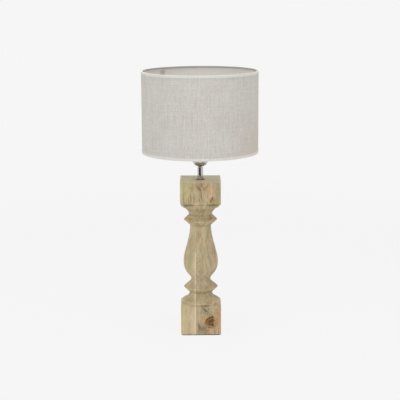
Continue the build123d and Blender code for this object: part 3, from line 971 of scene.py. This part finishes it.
@dataclass(frozen=True)
class Cloth(Finish):
    """Plain weave with slubbed threads, laid round the lamp's axis, in millimetres and degrees."""

    name: str = "slubbed_linen"
    light: Colour = tint(228, 224, 218)
    dark: Colour = tint(195, 190, 183)
    pitch: float = 0.8
    slub: float = 1.0
    depth: float = 0.12
    rough: float = 0.9
    grain: float = 0.0
    lower_right_tint: float = 0.0
    inner_radius: float = 0.0
    radius: float = 150.0
    cut_angle: float = 128.5
    middle: float = 585.0
    edge: float = 100.6
    edge_blur: float = 0.6
    inner_blur: float = 0.4
    inner_shade_colour: Colour = tint(178, 175, 170)
    lower_right_colour: Colour = tint(208, 194, 176)
    lower_right_box: tuple[Span, Span, Span] = ((60.0, 150.0), (40.0, -60.0), (620.0, 500.0))
    warp_tone: float = 0.2
    weft_tone: float = 0.14
    weft_seed: float = 517.0
    warp_slub: Noise = Noise((0.42, 0.02, 3.0), weight=1.1)
    weft_slub: Noise = Noise((0.02, 0.55, 9.0), weight=0.62)
    cloud: Noise = Noise((0.02, 0.02, 5.0), 2.0, 0.5, weight=0.25)
    bundle: Noise = Noise((0.3, 0.035, 21.0), weight=0.55)
    nub: Noise = Noise((0.36, 0.17, 33.0), 2.0, weight=1.1)
    cross: Noise = Noise((0.07, 0.34, 45.0), 2.0, weight=0.35)
    gap: Noise = Noise((0.45, 0.12, 57.0), 1.0, 0.5, weight=0.35, span=(0.62, 0.72))
    crown: float = 0.65
    dip_shade_tone: float = 0.22
    crown_gloss: float = 0.08
    slub_relief: float = 0.8
    relief: float = 0.6
    specular: float = 0.2
    sheen: float = 0.08
    sheen_rough: float = 0.5

    def paint(self, graph: Graph) -> dict[str, Value]:
        """Draws the threads and their slubs, with painted shade in the dips between them.

        Args:
            graph: Empty node tree of the material.

        Returns:
            Values and signals for the sockets of the shader.
        """
        spot = graph.parts(graph.place())
        up = spot[2]
        along = self._run(spot[0], spot[1])
        warp = along / self.pitch
        weft = up / self.pitch
        warp_tone = (graph.chance(warp.floor()) - NOISE_MEAN) * self.warp_tone
        weft_tone = (graph.chance(weft.floor() + self.weft_seed) - NOISE_MEAN) * self.weft_tone
        thick = self.warp_slub.at(along, up, 1.0)
        slubs = self.warp_slub.weigh(thick) + self.weft_slub.change(along, up, 1.0)
        warp_wave = (warp * math.pi).sin()
        weft_wave = (weft * math.pi).sin()
        over = (warp_wave * weft_wave) > 0.0
        height = over * abs(warp_wave) + (1 - over) * abs(weft_wave)
        share = 0.5 + (warp_tone + weft_tone + slubs) * self.slub + self.cloud.change(along, up, 1.0)
        # Painted shade: the dips between the threads are darker than their crowns.
        share = share + (height - self.crown) * self.dip_shade_tone
        if self.grain > 0.0:
            share = share + self._thick_threads(along, up) * self.grain
        return {
            "Base Color": self._tint_and_shade(graph.mix(share, self.dark, self.light), spot),
            "Roughness": self.rough - height * self.crown_gloss,
            "Specular IOR Level": self.specular,
            "Sheen Weight": self.sheen,
            "Sheen Roughness": self.sheen_rough,
            "Normal": graph.bump(height + thick * self.slub_relief, self.depth, self.relief),
        }

    def _run(self, x: Signal, y: Signal) -> Signal:
        """Measures how far round the lamp a point lies, with the join at the cut of the cloth.

        Args:
            x: X of the point.
            y: Y of the point.

        Returns:
            The distance along the cloth.
        """
        turn = math.radians(self.cut_angle - 180)
        ahead = x * math.cos(turn) + y * math.sin(turn)
        aside = y * math.cos(turn) - x * math.sin(turn)
        return aside.angle_to(ahead) * self.radius

    def _thick_threads(self, along: Signal, up: Signal) -> Signal:
        """Draws bundles of thick and thin threads and the short dark gaps between them.

        Args:
            along: Run of the weft.
            up: Run of the warp.

        Returns:
            A value round zero.
        """
        threads = self.bundle.change(along, up, 1.0) + self.nub.change(along, up, 1.0)
        gap = self.gap.mask(self.gap.at(along, up, 1.0))
        return threads + self.cross.change(along, up, 1.0) - gap * self.gap.weight

    def _tint_and_shade(self, colour: Signal, spot: Spot) -> Signal:
        """Makes the lower right front warmer and darker, and paints shade on the folded edges inside.

        Args:
            colour: Colour of the threads.
            spot: Point on the cloth.

        Returns:
            The colour of the cloth.
        """
        x, y, z = spot
        # Warmer and darker towards the lower right front.
        if self.lower_right_tint > 0.0:
            x_span, y_span, z_span = self.lower_right_box
            lower_right = x.ramp(*x_span) * y.ramp(*y_span) * z.ramp(*z_span)
            colour = colour.graph.mix(lower_right * self.lower_right_tint, colour, self.lower_right_colour)
        # Painted shade on the inner legs of the hems, near the rim.
        if self.inner_radius > 0.0:
            inside = (x * x + y * y).root().ramp(self.inner_radius + self.inner_blur, self.inner_radius)
            edge = abs(z - self.middle).ramp(self.edge - self.edge_blur, self.edge)
            colour = colour.graph.mix(inside * edge, colour, self.inner_shade_colour)
        return colour


@dataclass(frozen=True)
class Felt(Finish):
    """Pressed wool fibres, in millimetres."""

    name: str = "dark_felt"
    light: Colour = tint(74, 68, 62)
    dark: Colour = tint(40, 36, 33)
    hair_colour: Colour = tint(110, 102, 92)
    mat: Noise = Noise((1.3, 1.3, 1.3), 4.0, 0.7, 1.5, weight=0.06, span=(0.3, 0.7))
    hair: Noise = Noise((0.35, 2.6, 1.5), 2.0, 0.6, 2.0, weight=0.35, span=(0.62, 0.7))
    hair_relief: float = 0.5
    rough: float = 0.92
    specular: float = 0.1
    sheen: float = 0.2
    depth: float = 0.5
    relief: float = 0.7

    def paint(self, graph: Graph) -> dict[str, Value]:
        """Draws matted fibres and a few light hairs.

        Args:
            graph: Empty node tree of the material.

        Returns:
            Values and signals for the sockets of the shader.
        """
        place = graph.place()
        mat = self.mat.over(place)
        hair = self.hair.mask(self.hair.over(place))
        colour = graph.mix(self.mat.mask(mat), self.dark, self.light)
        return {
            "Base Color": graph.mix(hair * self.hair.weight, colour, self.hair_colour),
            "Roughness": self.rough + mat * self.mat.weight,
            "Specular IOR Level": self.specular,
            "Sheen Weight": self.sheen,
            "Normal": graph.bump(mat + hair * self.hair_relief, self.depth, self.relief),
        }


class Lay(Enum):
    """Fine marks that a tool left in a metal."""

    TURNED = Noise((0.02, 0.02, 6.0))
    ROLLED = Noise((0.5, 0.5, 1.2))
    CAST = Noise((1.0, 1.0, 1.0))


@dataclass(frozen=True)
class Metal(Finish):
    """Bare or plated metal with fine tool marks and a little tarnish, in millimetres."""

    name: str
    colour: Colour
    stain: Colour
    rough: float
    lay: Lay = Lay.TURNED
    marks: float = 0.04
    stained: float = 0.2
    depth: float = 0.02
    cloud_scale: float = 0.12
    wave: float = 0.0
    cloud_bend: float = 0.5
    cloud_stain: Span = (0.42, 0.72)
    cloud_dull: Span = (0.45, 0.75)
    speck: Noise = Noise((1.6, 1.6, 1.6), 1.0, 0.5, weight=0.5, span=(0.68, 0.74))
    relief: float = 0.3

    def paint(self, graph: Graph) -> dict[str, Value]:
        """Draws tool marks, cloudy tarnish and specks.

        Args:
            graph: Empty node tree of the material.

        Returns:
            Values and signals for the sockets of the shader.
        """
        place = graph.place()
        mark = self.lay.value.over(place)
        cloud = Noise((self.cloud_scale,) * 3, bend=self.cloud_bend).over(place)
        speck = self.speck.mask(self.speck.over(place)) * (self.stained * self.speck.weight)
        colour = graph.mix(cloud.ramp(*self.cloud_stain) * self.stained, self.colour, self.stain)
        worn = (mark - NOISE_MEAN) * self.marks + cloud.ramp(*self.cloud_dull) * self.marks
        return {
            "Base Color": graph.mix(speck, colour, self.stain),
            "Metallic": 1.0,
            "Roughness": self.rough + worn,
            "Normal": graph.bump(mark * self.depth + cloud * self.wave, 1.0, self.relief),
        }


@dataclass(frozen=True)
class Moulded(Finish):
    """Moulded, glazed or painted surface with a fine skin, in millimetres."""

    name: str
    colour: Colour
    shade: Colour
    rough: float
    skin_scale: float = 2.5
    depth: float = 0.03
    coat: float = 0.0
    coat_rough: float = 0.08
    specular: float = 0.5
    skin_rough: float = 0.1
    cloud: Noise = Noise((0.06, 0.06, 0.06), 3.0, 0.55, 0.5, weight=0.5, span=(0.35, 0.75))
    cloud_dull: Span = (0.4, 0.7)
    cloud_rough: float = 0.05
    speck: Noise = Noise((1.1, 1.1, 1.1), 1.0, 0.5, weight=0.3, span=(0.7, 0.76))
    relief: float = 0.4

    def paint(self, graph: Graph) -> dict[str, Value]:
        """Draws the skin, faint clouding and a few dust specks.

        Args:
            graph: Empty node tree of the material.

        Returns:
            Values and signals for the sockets of the shader.
        """
        place = graph.place()
        skin = Noise((self.skin_scale,) * 3, 2.0, 0.5).over(place)
        cloud = self.cloud.over(place)
        speck = self.speck.mask(self.speck.over(place))
        share = self.cloud.mask(cloud) * self.cloud.weight + speck * self.speck.weight
        dull = (skin - NOISE_MEAN) * self.skin_rough + cloud.ramp(*self.cloud_dull) * self.cloud_rough
        return {
            "Base Color": graph.mix(share, self.colour, self.shade),
            "Roughness": self.rough + dull,
            "Specular IOR Level": self.specular,
            "Coat Weight": self.coat,
            "Coat Roughness": self.coat_rough,
            "Normal": graph.bump(skin, self.depth, self.relief),
        }


WOOD = Wood()
LINEN = Cloth(grain=1.0, lower_right_tint=0.5)
HEM = Cloth("folded_tape", tint(240, 237, 232), tint(216, 212, 206), 0.7, 0.6, 0.08, inner_radius=147.4)
SEAM = Cloth("joint_tape", tint(208, 200, 189), tint(184, 175, 162), 0.7, 0.6, 0.06)
LINER = Cloth("liner_film", tint(230, 227, 222), tint(214, 210, 204), 1.0, 0.5, 0.02, 0.55)
FELT = Felt()
CHROME = Metal(
    "polished_chrome",
    tint(191, 190, 188),
    tint(162, 160, 156),
    0.06,
    marks=0.03,
    stained=0.15,
    depth=0.006,
    cloud_scale=0.16,
    wave=0.3,
)
ZINC = Metal("plated_zinc", tint(186, 186, 182), tint(150, 148, 140), 0.34, Lay.ROLLED, 0.14, 0.5, 0.03)
BRASS = Metal("stamped_brass", tint(214, 180, 110), tint(160, 120, 66), 0.28, Lay.ROLLED, 0.12, 0.45)
NICKEL = Metal("rolled_nickel", tint(206, 204, 198), tint(168, 164, 154), 0.26, Lay.TURNED, 0.12, 0.35)
SOLDER = Metal("solder_drop", tint(178, 178, 176), tint(128, 126, 122), 0.42, Lay.CAST, 0.18, 0.6, 0.08)
BUSHING = Moulded("moulded_black", tint(34, 34, 34), tint(48, 47, 45), 0.48, 2.2, 0.04)
CERAMIC = Moulded("glazed_ceramic", tint(238, 236, 228), tint(222, 218, 206), 0.22, 0.8, 0.02, 0.5)
POWDER = Moulded("powder_coat", tint(232, 232, 228), tint(214, 212, 206), 0.42, 1.6, 0.05)
RING_PLASTIC = Moulded("moulded_white", tint(234, 234, 230), tint(218, 216, 210), 0.4, 2.0)
OPAL = Moulded("frosted_opal", tint(244, 243, 239), tint(236, 233, 226), 0.24, 0.3, 0.01, 0.4)
DARK_GLASS = Moulded("fused_glass", tint(20, 20, 24), tint(34, 34, 40), 0.12, 0.6, 0.02, 0.3)

Dressing = tuple[tuple[Finish, tuple[str, ...]], ...]


def loft(name: str, loops: list[Loop], closed: bool = False, sharp: float = 35.0) -> bpy.types.Object:
    """Makes a closed mesh through a run of closed loops with as many points each.

    Args:
        name: Name of the piece.
        loops: Loops in order, in metres.
        closed: True if the last loop joins the first, and False for a cap at either end.
        sharp: Edges that fold by more than this, in degrees, stay sharp.

    Returns:
        The piece, in the scene.
    """
    size = len(loops[0])
    points = [point for loop in loops for point in loop]
    faces: list[list[int]] = []
    for row in range(len(loops) if closed else len(loops) - 1):
        here = row * size
        there = ((row + 1) % len(loops)) * size
        for i in range(size):
            j = (i + 1) % size
            faces.append([here + i, there + i, there + j, here + j])
    if not closed:
        faces.append(list(range(size)))
        faces.append([len(points) - 1 - i for i in range(size)])
    mesh = bpy.data.meshes.new(name)
    mesh.from_pydata(points, [], faces)
    mesh.validate()
    mesh.polygons.foreach_set("use_smooth", [True] * len(mesh.polygons))
    mesh.set_sharp_from_angle(angle=math.radians(sharp))
    mesh.update()
    piece = bpy.data.objects.new(name, mesh)
    bpy.context.scene.collection.objects.link(piece)
    return piece


def settle(piece: bpy.types.Object, body: str, node: str, finish: Finish) -> bpy.types.Object:
    """Puts a modelled piece in the place of a CAD node.

    Args:
        piece: The piece, in place.
        body: Body that it moves with.
        node: Node that it stands for.
        finish: Its finish.

    Returns:
        The piece.
    """
    finish.dress(piece)
    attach(piece, body)
    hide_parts(node)
    log.info("%s: %d faces", piece.name, len(piece.data.polygons))
    return piece


@dataclass
class Assembly:
    """Sub-assembly of the lamp, with the finishes of the CAD nodes that stay as they are."""

    dressed: ClassVar[Dressing] = ()

    def build(self) -> None:
        """Makes the pieces that replace CAD nodes, if there are any."""

    def dress(self) -> None:
        """Gives the CAD nodes their finishes."""
        for finish, names in self.dressed:
            for name in names:
                finish.dress(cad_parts[name])
                log.info("%s: %s", name, finish.name)


@dataclass
class Stand(Assembly):
    """Wooden foot and baluster, their clamped rod and the felt under them, in metres."""

    dressed: ClassVar[Dressing] = (
        (WOOD, ("foot_block", "baluster")),
        (ZINC, ("threaded_rod", "bottom_washer", "bottom_nut", "top_washer", "top_nut", "cap_nut")),
        (BUSHING, ("cord_bushing",)),
    )
    felt_side: float = 0.102
    felt_corner: float = 0.004
    felt_thickness: float = 0.002
    felt_edge: float = 0.0006
    felt_rounding: tuple[Span, ...] = ((1.0, 0.0), (0.3, 0.25), (0.0, 1.0))
    knife_waves: tuple[Wave, ...] = ((0.0012, 0.37, 0.0), (0.0008, 1.13, 1.0))
    corner_steps: int = 8
    side_steps: int = 26

    def build(self) -> None:
        """Makes the felt."""
        felt = settle(loft("felt_pad", self._felt_loops()), "lamp_base", "base_felt", FELT)

    def _felt_loops(self) -> list[Loop]:
        """Draws the outlines of the pad from its underside up.

        Returns:
            The outlines.
        """
        rounding = [(self.felt_edge * inset, self.felt_edge * rise) for inset, rise in self.felt_rounding]
        levels = rounding + [(inset, self.felt_thickness - rise) for inset, rise in rounding[::-1]]
        return [self._outline(inset, height) for inset, height in levels]

    def _outline(self, inset: float, height: float) -> Loop:
        """Draws a square with rounded corners and an edge that a knife cut by hand.

        Args:
            inset: How far the line lies inside the pad's edge.
            height: Its height.

        Returns:
            The points, counter-clockwise.
        """
        corner = self.felt_corner
        half = self.felt_side / 2 - inset
        flat = half - corner
        quarter = [(half, flat * (2 * i / self.side_steps - 1)) for i in range(self.side_steps)]
        for i in range(self.corner_steps):
            bend = math.pi / 2 * i / self.corner_steps
            quarter.append((flat + corner * math.cos(bend), flat + corner * math.sin(bend)))
        loop: Loop = []
        for turn in (0.0, math.pi / 2, math.pi, math.pi * 3 / 2):
            for x, y in quarter:
                cut = ripple(len(loop), self.knife_waves)
                across = x * math.cos(turn) - y * math.sin(turn)
                along = x * math.sin(turn) + y * math.cos(turn)
                loop.append((across * cut, along * cut, height))
        return loop


@dataclass
class Lampholder(Assembly):
    """Plated tube, dome and threaded sleeve with what they hold."""

    dressed: ClassVar[Dressing] = (
        (CHROME, ("neck_tube", "holder_cap", "holder_shell")),
        (CERAMIC, ("holder_core",)),
        (BRASS, ("contact_sleeve", "centre_contact", "terminal_screws")),
    )


@dataclass
class Bulb(Assembly):
    """Opal bulb with a screw cap."""

    dressed: ClassVar[Dressing] = (
        (OPAL, ("bulb_globe",)),
        (NICKEL, ("bulb_cap",)),
        (DARK_GLASS, ("bulb_insulator",)),
        (SOLDER, ("bulb_contact",)),
    )


@dataclass
class DrumShade(Assembly):
    """Linen drum on its wire frame, in metres and degrees."""

    dressed: ClassVar[Dressing] = (
        (LINER, ("shade_liner",)),
        (POWDER, ("top_hoop", "bottom_hoop", "fitter_ring", "spider_arms")),
        (RING_PLASTIC, ("shade_ring",)),
    )
    bottom: float = 0.480035
    top: float = 0.690035
    linen_inner: float = 0.14935
    linen_outer: float = 0.14992
    linen_inset: float = 0.00065
    sway: float = 0.00003
    sway_height: float = 0.03
    sway_folds: tuple[Span, ...] = ((3.0, 1.0), (7.0, -0.6))
    lap: float = 0.012
    lap_lift: float = 0.0006
    lap_run: float = 0.006
    lap_fade: float = 0.002
    lap_steps: int = 10
    seam_angle: float = 128.5
    hem_width: float = 0.0068
    hem_thickness: float = 0.0006
    hem_outer: float = 0.15065
    hem_inner: float = 0.14505
    hem_round: float = 0.00045
    hem_cut: Span = (0.15, 0.3)
    hem_waves: tuple[Wave, ...] = ((0.012, 11.0, 0.0), (0.008, 29.0, 1.0))
    wall_shares: tuple[float, ...] = (0.25, 0.5, 0.75)
    edge_shares: tuple[float, ...] = (0.3, 0.5, 0.7)
    bend_steps: int = 4
    hoop_radius: float = 0.1472
    hoop_depth: float = 0.00215
    leg_wrap: float = 50.0
    leg_seat: float = 0.14865
    arm_angles: tuple[float, ...] = (90.0, 210.0, 330.0)
    slit_half: float = 0.00215
    slit_stub: float = 0.03
    slit_shares: tuple[float, ...] = (0.5, 1.0, 1.1)
    slit_clear: float = 2.0
    tape_width: float = 0.015
    tape_outer: float = 0.1487
    tape_thickness: float = 0.0004
    tape_gap: float = 0.001
    tape_thin: float = 0.35
    tape_drift: float = 0.00025
    tape_rate: float = 90.0
    tape_steps: int = 12
    turns: int = 320
    rows: int = 40

    def build(self) -> None:
        """Makes the linen, both hems and the strip over the joint inside."""
        linen = settle(loft("linen_drum", self._linen_loops()), "shade", "shade_linen", LINEN)
        for name, node, upper in (("hem_upper", "top_hem", True), ("hem_lower", "bottom_hem", False)):
            hem = settle(loft(name, self._hem_loops(upper), closed=True), "shade", node, HEM)
            self._hem_flat()
        strip = settle(loft("joint_strip", self._strip_loops()), "shade", "seam_tape", SEAM)

    def _heights(self, low: float, high: float) -> list[float]:
        """Spaces the rows of a cloth evenly between two heights."""
        return [low + (high - low) * i / self.rows for i in range(self.rows + 1)]

    def _sway(self, turn: float, height: float) -> float:
        """Finds how far hand-stretched cloth stands off a true circle.

        Args:
            turn: Angle in radians.
            height: Height.

        Returns:
            The distance outwards.
        """
        level = height / self.sway_height
        waves = [(1.0, folds, twist * level) for folds, twist in self.sway_folds]
        return self.sway * ripple(turn, waves)

    def _linen_loops(self) -> list[Loop]:
        """Draws sections of the cloth, from the start of its lap all round to the end.

        Returns:
            The sections, each up the outer face and down the inner one.
        """
        full = 2 * math.pi + self.lap / self.linen_outer
        rise_start = 2 * math.pi - self.lap_run / self.linen_outer
        steps = {full * i / self.turns for i in range(self.turns + 1)}
        steps |= {rise_start + (full - rise_start) * i / self.lap_steps for i in range(self.lap_steps)}
        heights = self._heights(self.bottom + self.linen_inset, self.top - self.linen_inset)
        loops = []
        for step in sorted(steps):
            turn = math.radians(self.seam_angle) + step
            rise = self.lap_lift * ease(step, rise_start, 2 * math.pi)
            outer, inner = self.linen_outer + rise, self.linen_inner + rise
            up = [polar(outer + self._sway(turn, height), turn, height) for height in heights]
            down = [polar(inner + self._sway(turn, height), turn, height) for height in heights]
            loops.append(up + down[::-1])
        return loops

    def _inner_leg(self, wall: float, slit: bool) -> Section:
        """Draws one face of a hem's inner leg, which goes down the hoop, round it and back to the liner.

        Args:
            wall: How far the face stands off the tape's outer face, towards the middle of the shade.
            slit: Whether an arm passes here, so that only a stub of the leg is left.

        Returns:
            The face as (radius, distance from the shade's edge).
        """
        reach = self.hoop_radius - self.hem_inner - self.hem_thickness + wall
        wrap = math.radians(self.leg_wrap)
        face = []
        for i in range(self.bend_steps + 1):
            bend = wrap * i / self.bend_steps
            face.append((self.hoop_radius - reach * math.cos(bend), self.hoop_depth + reach * math.sin(bend)))
        seat = self.leg_seat - wall
        fold = face[-1][1] + (seat - face[-1][0]) / math.tan(wrap)
        face += [(seat, fold), (seat, (fold + self.hem_width) / 2), (seat, self.hem_width)]
        if not slit:
            return face
        stub = self.slit_stub * self.hem_width / len(face)
        return [(self.hoop_radius - reach, self.hem_thickness + stub * (i + 1)) for i in range(len(face))]

    def _hem_flat(self) -> float:
        """Adds up the width of a hem before it was folded.

        Returns:
            The width.
        """
        leg = self._inner_leg(self.hem_thickness / 2, False)
        leg_length = self.hoop_depth + sum(math.dist(start, end) for start, end in zip(leg, leg[1:]))
        return self.hem_width + self.hem_outer - self.hem_inner + leg_length

    def _hem_section(self, slit: bool) -> Section:
        """Draws the folded tape all round.

        Args:
            slit: Whether an arm passes here.

        Returns:
            The section as (radius, distance from the shade's edge).
        """
        wall, width = self.hem_thickness, self.hem_width
        outer, inner, corner = self.hem_outer, self.hem_inner, self.hem_round
        bends = [math.pi / 2 * i / self.bend_steps for i in range(self.bend_steps + 1)]
        section = [(outer - wall * self.hem_cut[0], width), (outer, width - wall * self.hem_cut[1])]
        section += [(outer, width * share) for share in self.wall_shares[::-1]]
        section += [(outer - corner * (1 - math.cos(b)), corner * (1 - math.sin(b))) for b in bends]
        section += [(outer + (inner - outer) * share, 0.0) for share in self.edge_shares]
        section += [(inner + corner * (1 - math.sin(b)), corner * (1 - math.cos(b))) for b in bends]
        section += self._inner_leg(wall, slit)
        section += self._inner_leg(0.0, slit)[::-1]
        section += [(inner + wall, wall), (outer - wall, wall)]
        section += [(outer - wall, width * share) for share in self.wall_shares]
        section += [(outer - wall, width)]
        return section

    def _hem_turns(self, upper: bool) -> list[tuple[float, bool]]:
        """Spaces the sections of a hem, closer where the arms pass the lower one.

        Args:
            upper: True for the upper hem, and False for the lower one.

        Returns:
            The angle of each section, and whether a slit for an arm is there.
        """
        turns = {360 * i / self.turns: False for i in range(self.turns)}
        reach = math.degrees(self.slit_half / self.hem_inner)
        arms = () if upper else self.arm_angles
        for arm in arms:
            turns = {angle: cut for angle, cut in turns.items() if abs(angle - arm) > self.slit_clear * reach}
            for share in self.slit_shares:
                turns[arm - reach * share] = share <= 1.0
                turns[arm + reach * share] = share <= 1.0
        return sorted(turns.items())

    def _hem_lift(self, angle: float) -> float:
        """Finds the rise of the tape's outer leg over the lap of the linen, at an angle in degrees."""
        run = math.radians(angle - self.seam_angle) * self.linen_outer
        return self.lap_lift * ease(run, -self.lap_run, 0.0) * ease(run, self.lap + self.lap_fade, self.lap)

    def _hem_loops(self, upper: bool) -> list[Loop]:
        """Draws sections of a hem all round.

        Args:
            upper: True for the upper hem, and False for the lower one.

        Returns:
            The sections.
        """
        sections = {slit: self._hem_section(slit) for slit in (False, True)}
        loops = []
        for angle, slit in self._hem_turns(upper):
            turn = math.radians(angle)
            lift = self._hem_lift(angle)
            wave = ripple(turn, self.hem_waves)
            loop: Loop = []
            for radius, depth in sections[slit]:
                drop = depth * wave if depth > self.hem_thickness else depth
                reach = radius + lift if radius > self.leg_seat else radius
                loop.append(polar(reach, turn, self.top - drop if upper else self.bottom + drop))
            loops.append(loop if upper else loop[::-1])
        return loops

    def _strip_loops(self) -> list[Loop]:
        """Draws sections of the strip inside the joint, from one side to the other.

        Returns:
            The sections, each up the outer face and down the inner one.
        """
        inset = self.hem_width + self.tape_gap
        heights = self._heights(self.bottom + inset, self.top - inset)
        loops = []
        for step in range(self.tape_steps + 1):
            at_side = step in (0, self.tape_steps)
            inner = self.tape_outer - self.tape_thickness * (self.tape_thin if at_side else 1.0)
            drift = self.tape_drift if at_side else 0.0
            up, down = [], []
            for height in heights:
                run = self.tape_width * step / self.tape_steps + drift * math.sin(height * self.tape_rate)
                turn = math.radians(self.seam_angle) + run / self.tape_outer
                up.append(polar(self.tape_outer, turn, height))
                down.append(polar(inner, turn, height))
            loops.append(up + down[::-1])
        return loops


@dataclass(frozen=True)
class SoftLamp:
    """Square studio lamp that faces the middle of the object, in metres and watts."""

    aim: ClassVar[Point] = (0.0, 0.0, 0.35)
    name: str
    place: Point
    side: float
    power: float

    def build(self) -> None:
        """Hangs the lamp."""
        data = bpy.data.lights.new(self.name, "AREA")
        data.size = self.side
        data.energy = self.power
        lamp = bpy.data.objects.new(self.name, data)
        lamp.location = self.place
        lamp.rotation_euler = (Vector(self.aim) - Vector(self.place)).to_track_quat("-Z", "Y").to_euler()
        bpy.context.scene.collection.objects.link(lamp)


@dataclass
class Studio:
    """Floor, lamps, background and camera, in metres and degrees."""

    backdrop: Colour = tint(246, 246, 246)
    ambient_colour: Colour = (1.0, 1.0, 1.0, 1.0)
    ambient: float = 0.44
    floor_colour: Colour = (0.85, 0.85, 0.85, 1.0)
    floor_half: float = 8.0
    floor_gap: float = 0.0002
    floor_shadow: float = 0.06
    shadow_reach: Span = (2.6, 0.8)
    card_colour: Colour = tint(38, 38, 40)
    card_sides: Span = (-2.2, 0.5)
    card_heights: Span = (0.01, 0.6)
    card_ahead: float = -1.3
    lamps: tuple[SoftLamp, ...] = (
        SoftLamp("key", (-1.9, -2.0, 2.1), 1.8, 25.0),
        SoftLamp("fill", (2.0, -1.6, 1.2), 1.6, 13.0),
        SoftLamp("top", (0.0, -0.1, 2.4), 1.9, 27.0),
    )
    camera_place: Point = (-0.00115, -2.8, 0.9276)
    camera_tilt: float = 78.4
    camera_roll: float = -0.3
    lens: float = 98.46
    sensor: float = 36.0

    def build(self) -> None:
        """Sets up everything round the lamp."""
        bpy.context.scene.view_settings.view_transform = "Standard"
        self._background()
        self._floor()
        for lamp in self.lamps:
            lamp.build()
        self._dark_card()
        self._camera()

    def _seen(self, graph: Graph) -> Signal:
        """Finds the rays that show the background: from the camera, and off or through the lamp.

        Args:
            graph: Node tree of the floor or of the world.

        Returns:
            One for those rays, and zero for others.
        """
        outputs = graph.node("LightPath").socket.node.outputs
        seen = Signal(graph, outputs["Is Camera Ray"])
        for kind in ("Is Glossy Ray", "Is Transmission Ray"):
            seen = seen.most(Signal(graph, outputs[kind]))
        return seen

    def _plate(self, name: str, corners: Loop) -> tuple[bpy.types.Object, Graph]:
        """Adds a flat stage piece with an empty material.

        Args:
            name: Its name.
            corners: Its four corners.

        Returns:
            The plate, and the node tree of its material.
        """
        mesh = bpy.data.meshes.new(name)
        mesh.from_pydata(corners, [], [(0, 1, 2, 3)])
        mesh.materials.append(bpy.data.materials.new(name))
        plate = bpy.data.objects.new(name, mesh)
        bpy.context.scene.collection.objects.link(plate)
        return plate, Graph(mesh.materials[0])

    def _background(self) -> None:
        """Makes an even pale background that lights the lamp from all round."""
        world = bpy.data.worlds.new("studio")
        bpy.context.scene.world = world
        graph = Graph(world)
        soft = graph.node("Background", None, {"Color": self.ambient_colour, "Strength": self.ambient})
        plain = graph.node("Background", None, {"Color": self.backdrop, "Strength": 1.0})
        both = graph.node("MixShader", None, {0: self._seen(graph), 1: soft, 2: plain})
        graph.node("OutputWorld", None, {"Surface": both})

    def _floor(self) -> None:
        """Makes a pale floor that melts into the background, keeps a faint shadow and is clear from below."""
        half, low = self.floor_half, -self.floor_gap
        corners = [(-half, -half, low), (half, -half, low), (half, half, low), (-half, half, low)]
        _, graph = self._plate("floor", corners)
        matt = graph.node("BsdfDiffuse", None, {"Color": self.floor_colour})
        glow = graph.node("Emission", None, {"Color": self.backdrop, "Strength": 1.0})
        away = graph.length(graph.place()) * MM
        share = self._seen(graph) * (1 - away.ramp(*self.shadow_reach, self.floor_shadow))
        both = graph.node("MixShader", None, {0: share, 1: matt, 2: glow})
        under = graph.node("NewGeometry", output="Backfacing")
        clear = graph.node("BsdfTransparent")
        sided = graph.node("MixShader", None, {0: under, 1: both, 2: clear})
        graph.node("OutputMaterial", None, {"Surface": sided})

    def _dark_card(self) -> None:
        """Puts a dark card in front of the lamp that only polished metal mirrors."""
        (left, right), (low, high), ahead = self.card_sides, self.card_heights, self.card_ahead
        corners = [(left, ahead, low), (right, ahead, low), (right, ahead, high), (left, ahead, high)]
        card, graph = self._plate("dark_card", corners)
        black = graph.node("Emission", None, {"Color": self.card_colour, "Strength": 1.0})
        graph.node("OutputMaterial", None, {"Surface": black})
        card.visible_camera = False
        card.visible_diffuse = False
        card.visible_transmission = False
        card.visible_shadow = False

    def _camera(self) -> None:
        """Adds the camera at the photograph's angle."""
        data = bpy.data.cameras.new("camera")
        data.lens = self.lens
        data.sensor_width = self.sensor
        camera = bpy.data.objects.new("camera", data)
        tilt = Matrix.Rotation(math.radians(self.camera_tilt), 4, "X")
        roll = Matrix.Rotation(math.radians(self.camera_roll), 4, "Z")
        camera.matrix_world = Matrix.Translation(self.camera_place) @ tilt @ roll
        bpy.context.scene.collection.objects.link(camera)
        bpy.context.scene.camera = camera


def main() -> None:
    """Builds the lamp and the studio round it."""
    logging.basicConfig(level=logging.INFO, format="%(name)s %(message)s")
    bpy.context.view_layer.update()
    for assembly in (Stand(), Lampholder(), Bulb(), DrumShade()):
        assembly.build()
        assembly.dress()
        log.info("%s done", type(assembly).__name__)
    Studio().build()


if __name__ == "__main__":
    main()
